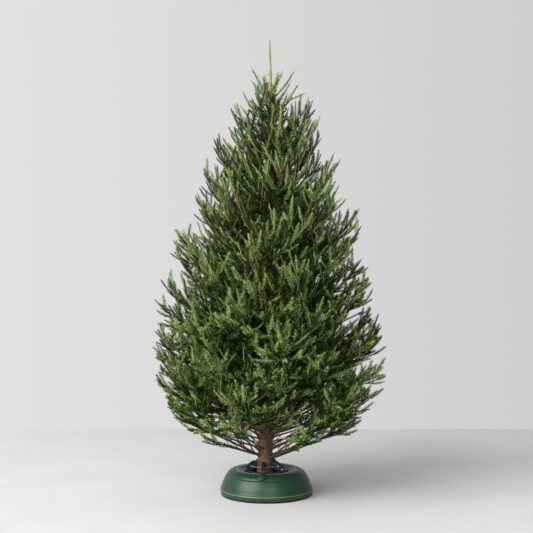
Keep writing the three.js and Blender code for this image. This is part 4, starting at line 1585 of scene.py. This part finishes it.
# %% Pins of the claws
HINGE_PIN = (0.098, 0.1285, 0.0028, 0.0196)  # distance from the axis, height, radius and length
CABLE_PIN = (CABLE_REACH, CABLE_HEIGHT, 0.0042, 0.0184)


def add_pin(bm, turn, distance, height, radius, length):
    """A round pin across a claw, with a low domed head on each side."""
    across = Matrix.Translation((distance, 0, height)) @ Matrix.Rotation(math.pi / 2, 4, "X")
    start = turned_place(turn) @ across
    pin = bmesh.ops.create_cone(
        bm, cap_ends=True, segments=20, radius1=radius, radius2=radius, depth=length, matrix=start
    )
    ends = {face for corner in pin["verts"] for face in corner.link_faces if len(face.verts) > 4}
    bmesh.ops.inset_individual(bm, faces=list(ends), thickness=radius * 0.35, depth=0.0003)


def build_pins():
    bm = bmesh.new()
    for number in range(CLAWS):
        for pin in (HINGE_PIN, CABLE_PIN):
            add_pin(bm, CLAW_TURN + number * CLAW_STEP, *pin)
    pins = piece_from(bm, "claw_pins", STEEL, smooth=False)
    print("pins:", 2 * CLAWS)


build_pins()

# %% [markdown]
# ### Cable
# The cable is a wire rope: strands that wind round each other. It is fixed, drawn straight from claw to
# claw, with a small bend at each. Six thin tubes wind about that line; like the stems, they are worked
# out as arrays and joined.

# %% Cable
CABLE_RADIUS = 0.0018
STRANDS = 6
STRAND_SHARE = 0.36  # a strand's radius, as a share of the cable's
STRAND_PITCH = 0.014


def cable_distance(turn):
    """Distance from the axis to the cable: straight lines between the claws, cut a little at each."""
    offset = np.abs(turn - CLAW_STEP * np.round(turn / CLAW_STEP))
    straight = CABLE_REACH * math.cos(CLAW_STEP / 2) / np.cos(CLAW_STEP / 2 - offset)
    return np.minimum(straight, CABLE_REACH - 0.0015)


def cable_line(turn):
    distance = cable_distance(turn)
    x = CLAW_AXIS.x + distance * np.cos(turn + CLAW_TURN)
    y = CLAW_AXIS.y + distance * np.sin(turn + CLAW_TURN)
    return np.stack([x, y, np.full_like(turn, CABLE_HEIGHT)], axis=-1)


def tube_faces(steps, sides):
    """The faces of a tube that closes on itself."""
    side, here = np.arange(sides), np.arange(steps)[:, None] * sides
    there = np.roll(here, -1, axis=0)
    after = (side + 1) % sides
    return np.stack([here + side, here + after, there + after, there + side], axis=-1).reshape(-1, 4)


def build_cable(steps=360, sides=5):
    turn = np.arange(steps) * FULL_TURN / steps
    middle = cable_line(turn)
    along = norm(np.roll(middle, -1, axis=0) - np.roll(middle, 1, axis=0))
    upper = np.tile([0, 0, 1.0], (steps, 1))
    flank = np.cross(along, upper)
    length = np.linalg.norm(np.roll(middle, -1, axis=0) - middle, axis=1).sum()
    winds = round(length / STRAND_PITCH)
    strand_radius = CABLE_RADIUS * STRAND_SHARE
    ring = rings_round(upper, flank, sides)
    corners, faces = [], []
    for strand in range(STRANDS):
        phase = strand * FULL_TURN / STRANDS + winds * turn
        shift = upper * np.cos(phase)[:, None] + flank * np.sin(phase)[:, None]
        shift = shift * CABLE_RADIUS * (1 - STRAND_SHARE)
        corners.append(((middle + shift)[:, None] + ring * strand_radius).reshape(-1, 3))
        faces.append(tube_faces(steps, sides) + strand * steps * sides)
    mesh = mesh_from_arrays("claw_cable_strands", np.concatenate(corners), np.concatenate(faces))
    mesh.polygons.foreach_set("use_smooth", [True] * len(mesh.polygons))
    cable = add_piece("claw_cable_strands", mesh, STEEL)
    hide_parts("claw_cable")
    print("cable:", round(float(length), 3), "m long,", winds, "winds")


build_cable()

# %% [markdown]
# ### Pedal
# A flat bar lies along the deck, from the claw ring out over the shoulder, and ends in a round pad with
# ribs under the shoe. The bar is one cube, cut across many times; its slices are then laid along the
# deck's own profile, so it hugs the curve. The pad is a flattened ball.

# %% Pedal
PEDAL_TURN = -math.pi / 2 - 0.12
PEDAL_WIDTH = 0.024
PEDAL_LIFT = (0.0008, 0.008 - 0.0006)  # of its underside and its top, over the deck
PEDAL_WAIST = 0.16  # how much narrower it is in the middle, as a share
PEDAL_START = RING_OUTER + 0.003
PAD_DISTANCE = 0.196
PAD_HEIGHT = 0.118
PAD_SLOPE = 0.75
PAD_HALF = (0.0132, 0.0168, 0.0058)  # half of its length, width and thickness
PAD_RIBS = 5
RIB_STEP = 0.0038
RIB_SIZE = (0.0014, 0.022, 0.0024)
RIB_SUNK = 0.0010


def deck_place(share, lift):
    """A point over the deck: from the claw ring at 0 to the crease at 1, lifted off it by a distance."""
    inside = Vector((0.140, 0.060))
    points = [Vector(point) for point in reversed(BOWL_DECK)]
    points = [point for point in points if point.x > PEDAL_START]
    points.insert(0, Vector((PEDAL_START, DECK_HEIGHT)))
    lengths_between = [(b - a).length for a, b in zip(points, points[1:])]
    distance = share * sum(lengths_between)
    for a, b, length in zip(points, points[1:], lengths_between):
        if distance <= length or b is points[-1]:
            place = a.lerp(b, min(1, distance / length))
            way = place - inside
            return place + way.normalized() * lift
        distance -= length


def add_bar(bm):
    """A cube, cut into slices that follow the deck."""
    bmesh.ops.create_cube(bm, size=1)
    long_edges = [edge for edge in bm.edges if abs(edge.verts[0].co.x - edge.verts[1].co.x) > 0.5]
    bmesh.ops.subdivide_edges(bm, edges=long_edges, cuts=30)
    for corner in bm.verts:
        share = corner.co.x + 0.5
        place = deck_place(share * 0.97, PEDAL_LIFT[corner.co.z > 0])
        narrow = 1 - PEDAL_WAIST * math.sin(math.pi * share)
        corner.co = (place.x, corner.co.y * PEDAL_WIDTH * narrow, place.y)
    round_off(bm, [edge for edge in bm.edges if edge.calc_face_angle(0) > 0.9], 0.0018, segments=3)


def add_pad(bm):
    """A flattened ball with ribs across it, on the slope of the shoulder."""
    lie = Matrix.Translation((PAD_DISTANCE, 0, PAD_HEIGHT)) @ Matrix.Rotation(PAD_SLOPE, 4, "Y")
    size = Matrix.Diagonal((*PAD_HALF, 1))
    bmesh.ops.create_uvsphere(bm, u_segments=40, v_segments=20, radius=1, matrix=lie @ size)
    for number in range(PAD_RIBS):
        along = (number - (PAD_RIBS - 1) / 2) * RIB_STEP
        narrow = math.sqrt(1 - (along / PAD_HALF[0]) ** 2)
        place = Matrix.Translation((along, 0, PAD_HALF[2] * narrow - RIB_SUNK))
        rib = place @ Matrix.Diagonal((RIB_SIZE[0], RIB_SIZE[1] * narrow, RIB_SIZE[2], 1))
        made = bmesh.ops.create_cube(bm, size=1, matrix=lie @ rib)
        edges = {edge for corner in made["verts"] for edge in corner.link_edges}
        round_off(bm, list(edges), 0.0004, segments=2)


def build_pedal():
    bm = bmesh.new()
    add_bar(bm)
    add_pad(bm)
    bmesh.ops.rotate(bm, cent=(0, 0, 0), matrix=Matrix.Rotation(PEDAL_TURN, 3, "Z"), verts=bm.verts)
    pedal = piece_from(bm, "pedal_moulding", GREEN)
    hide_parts("stand_pedal")
    print("pedal:", len(pedal.data.polygons), "faces")


build_pedal()
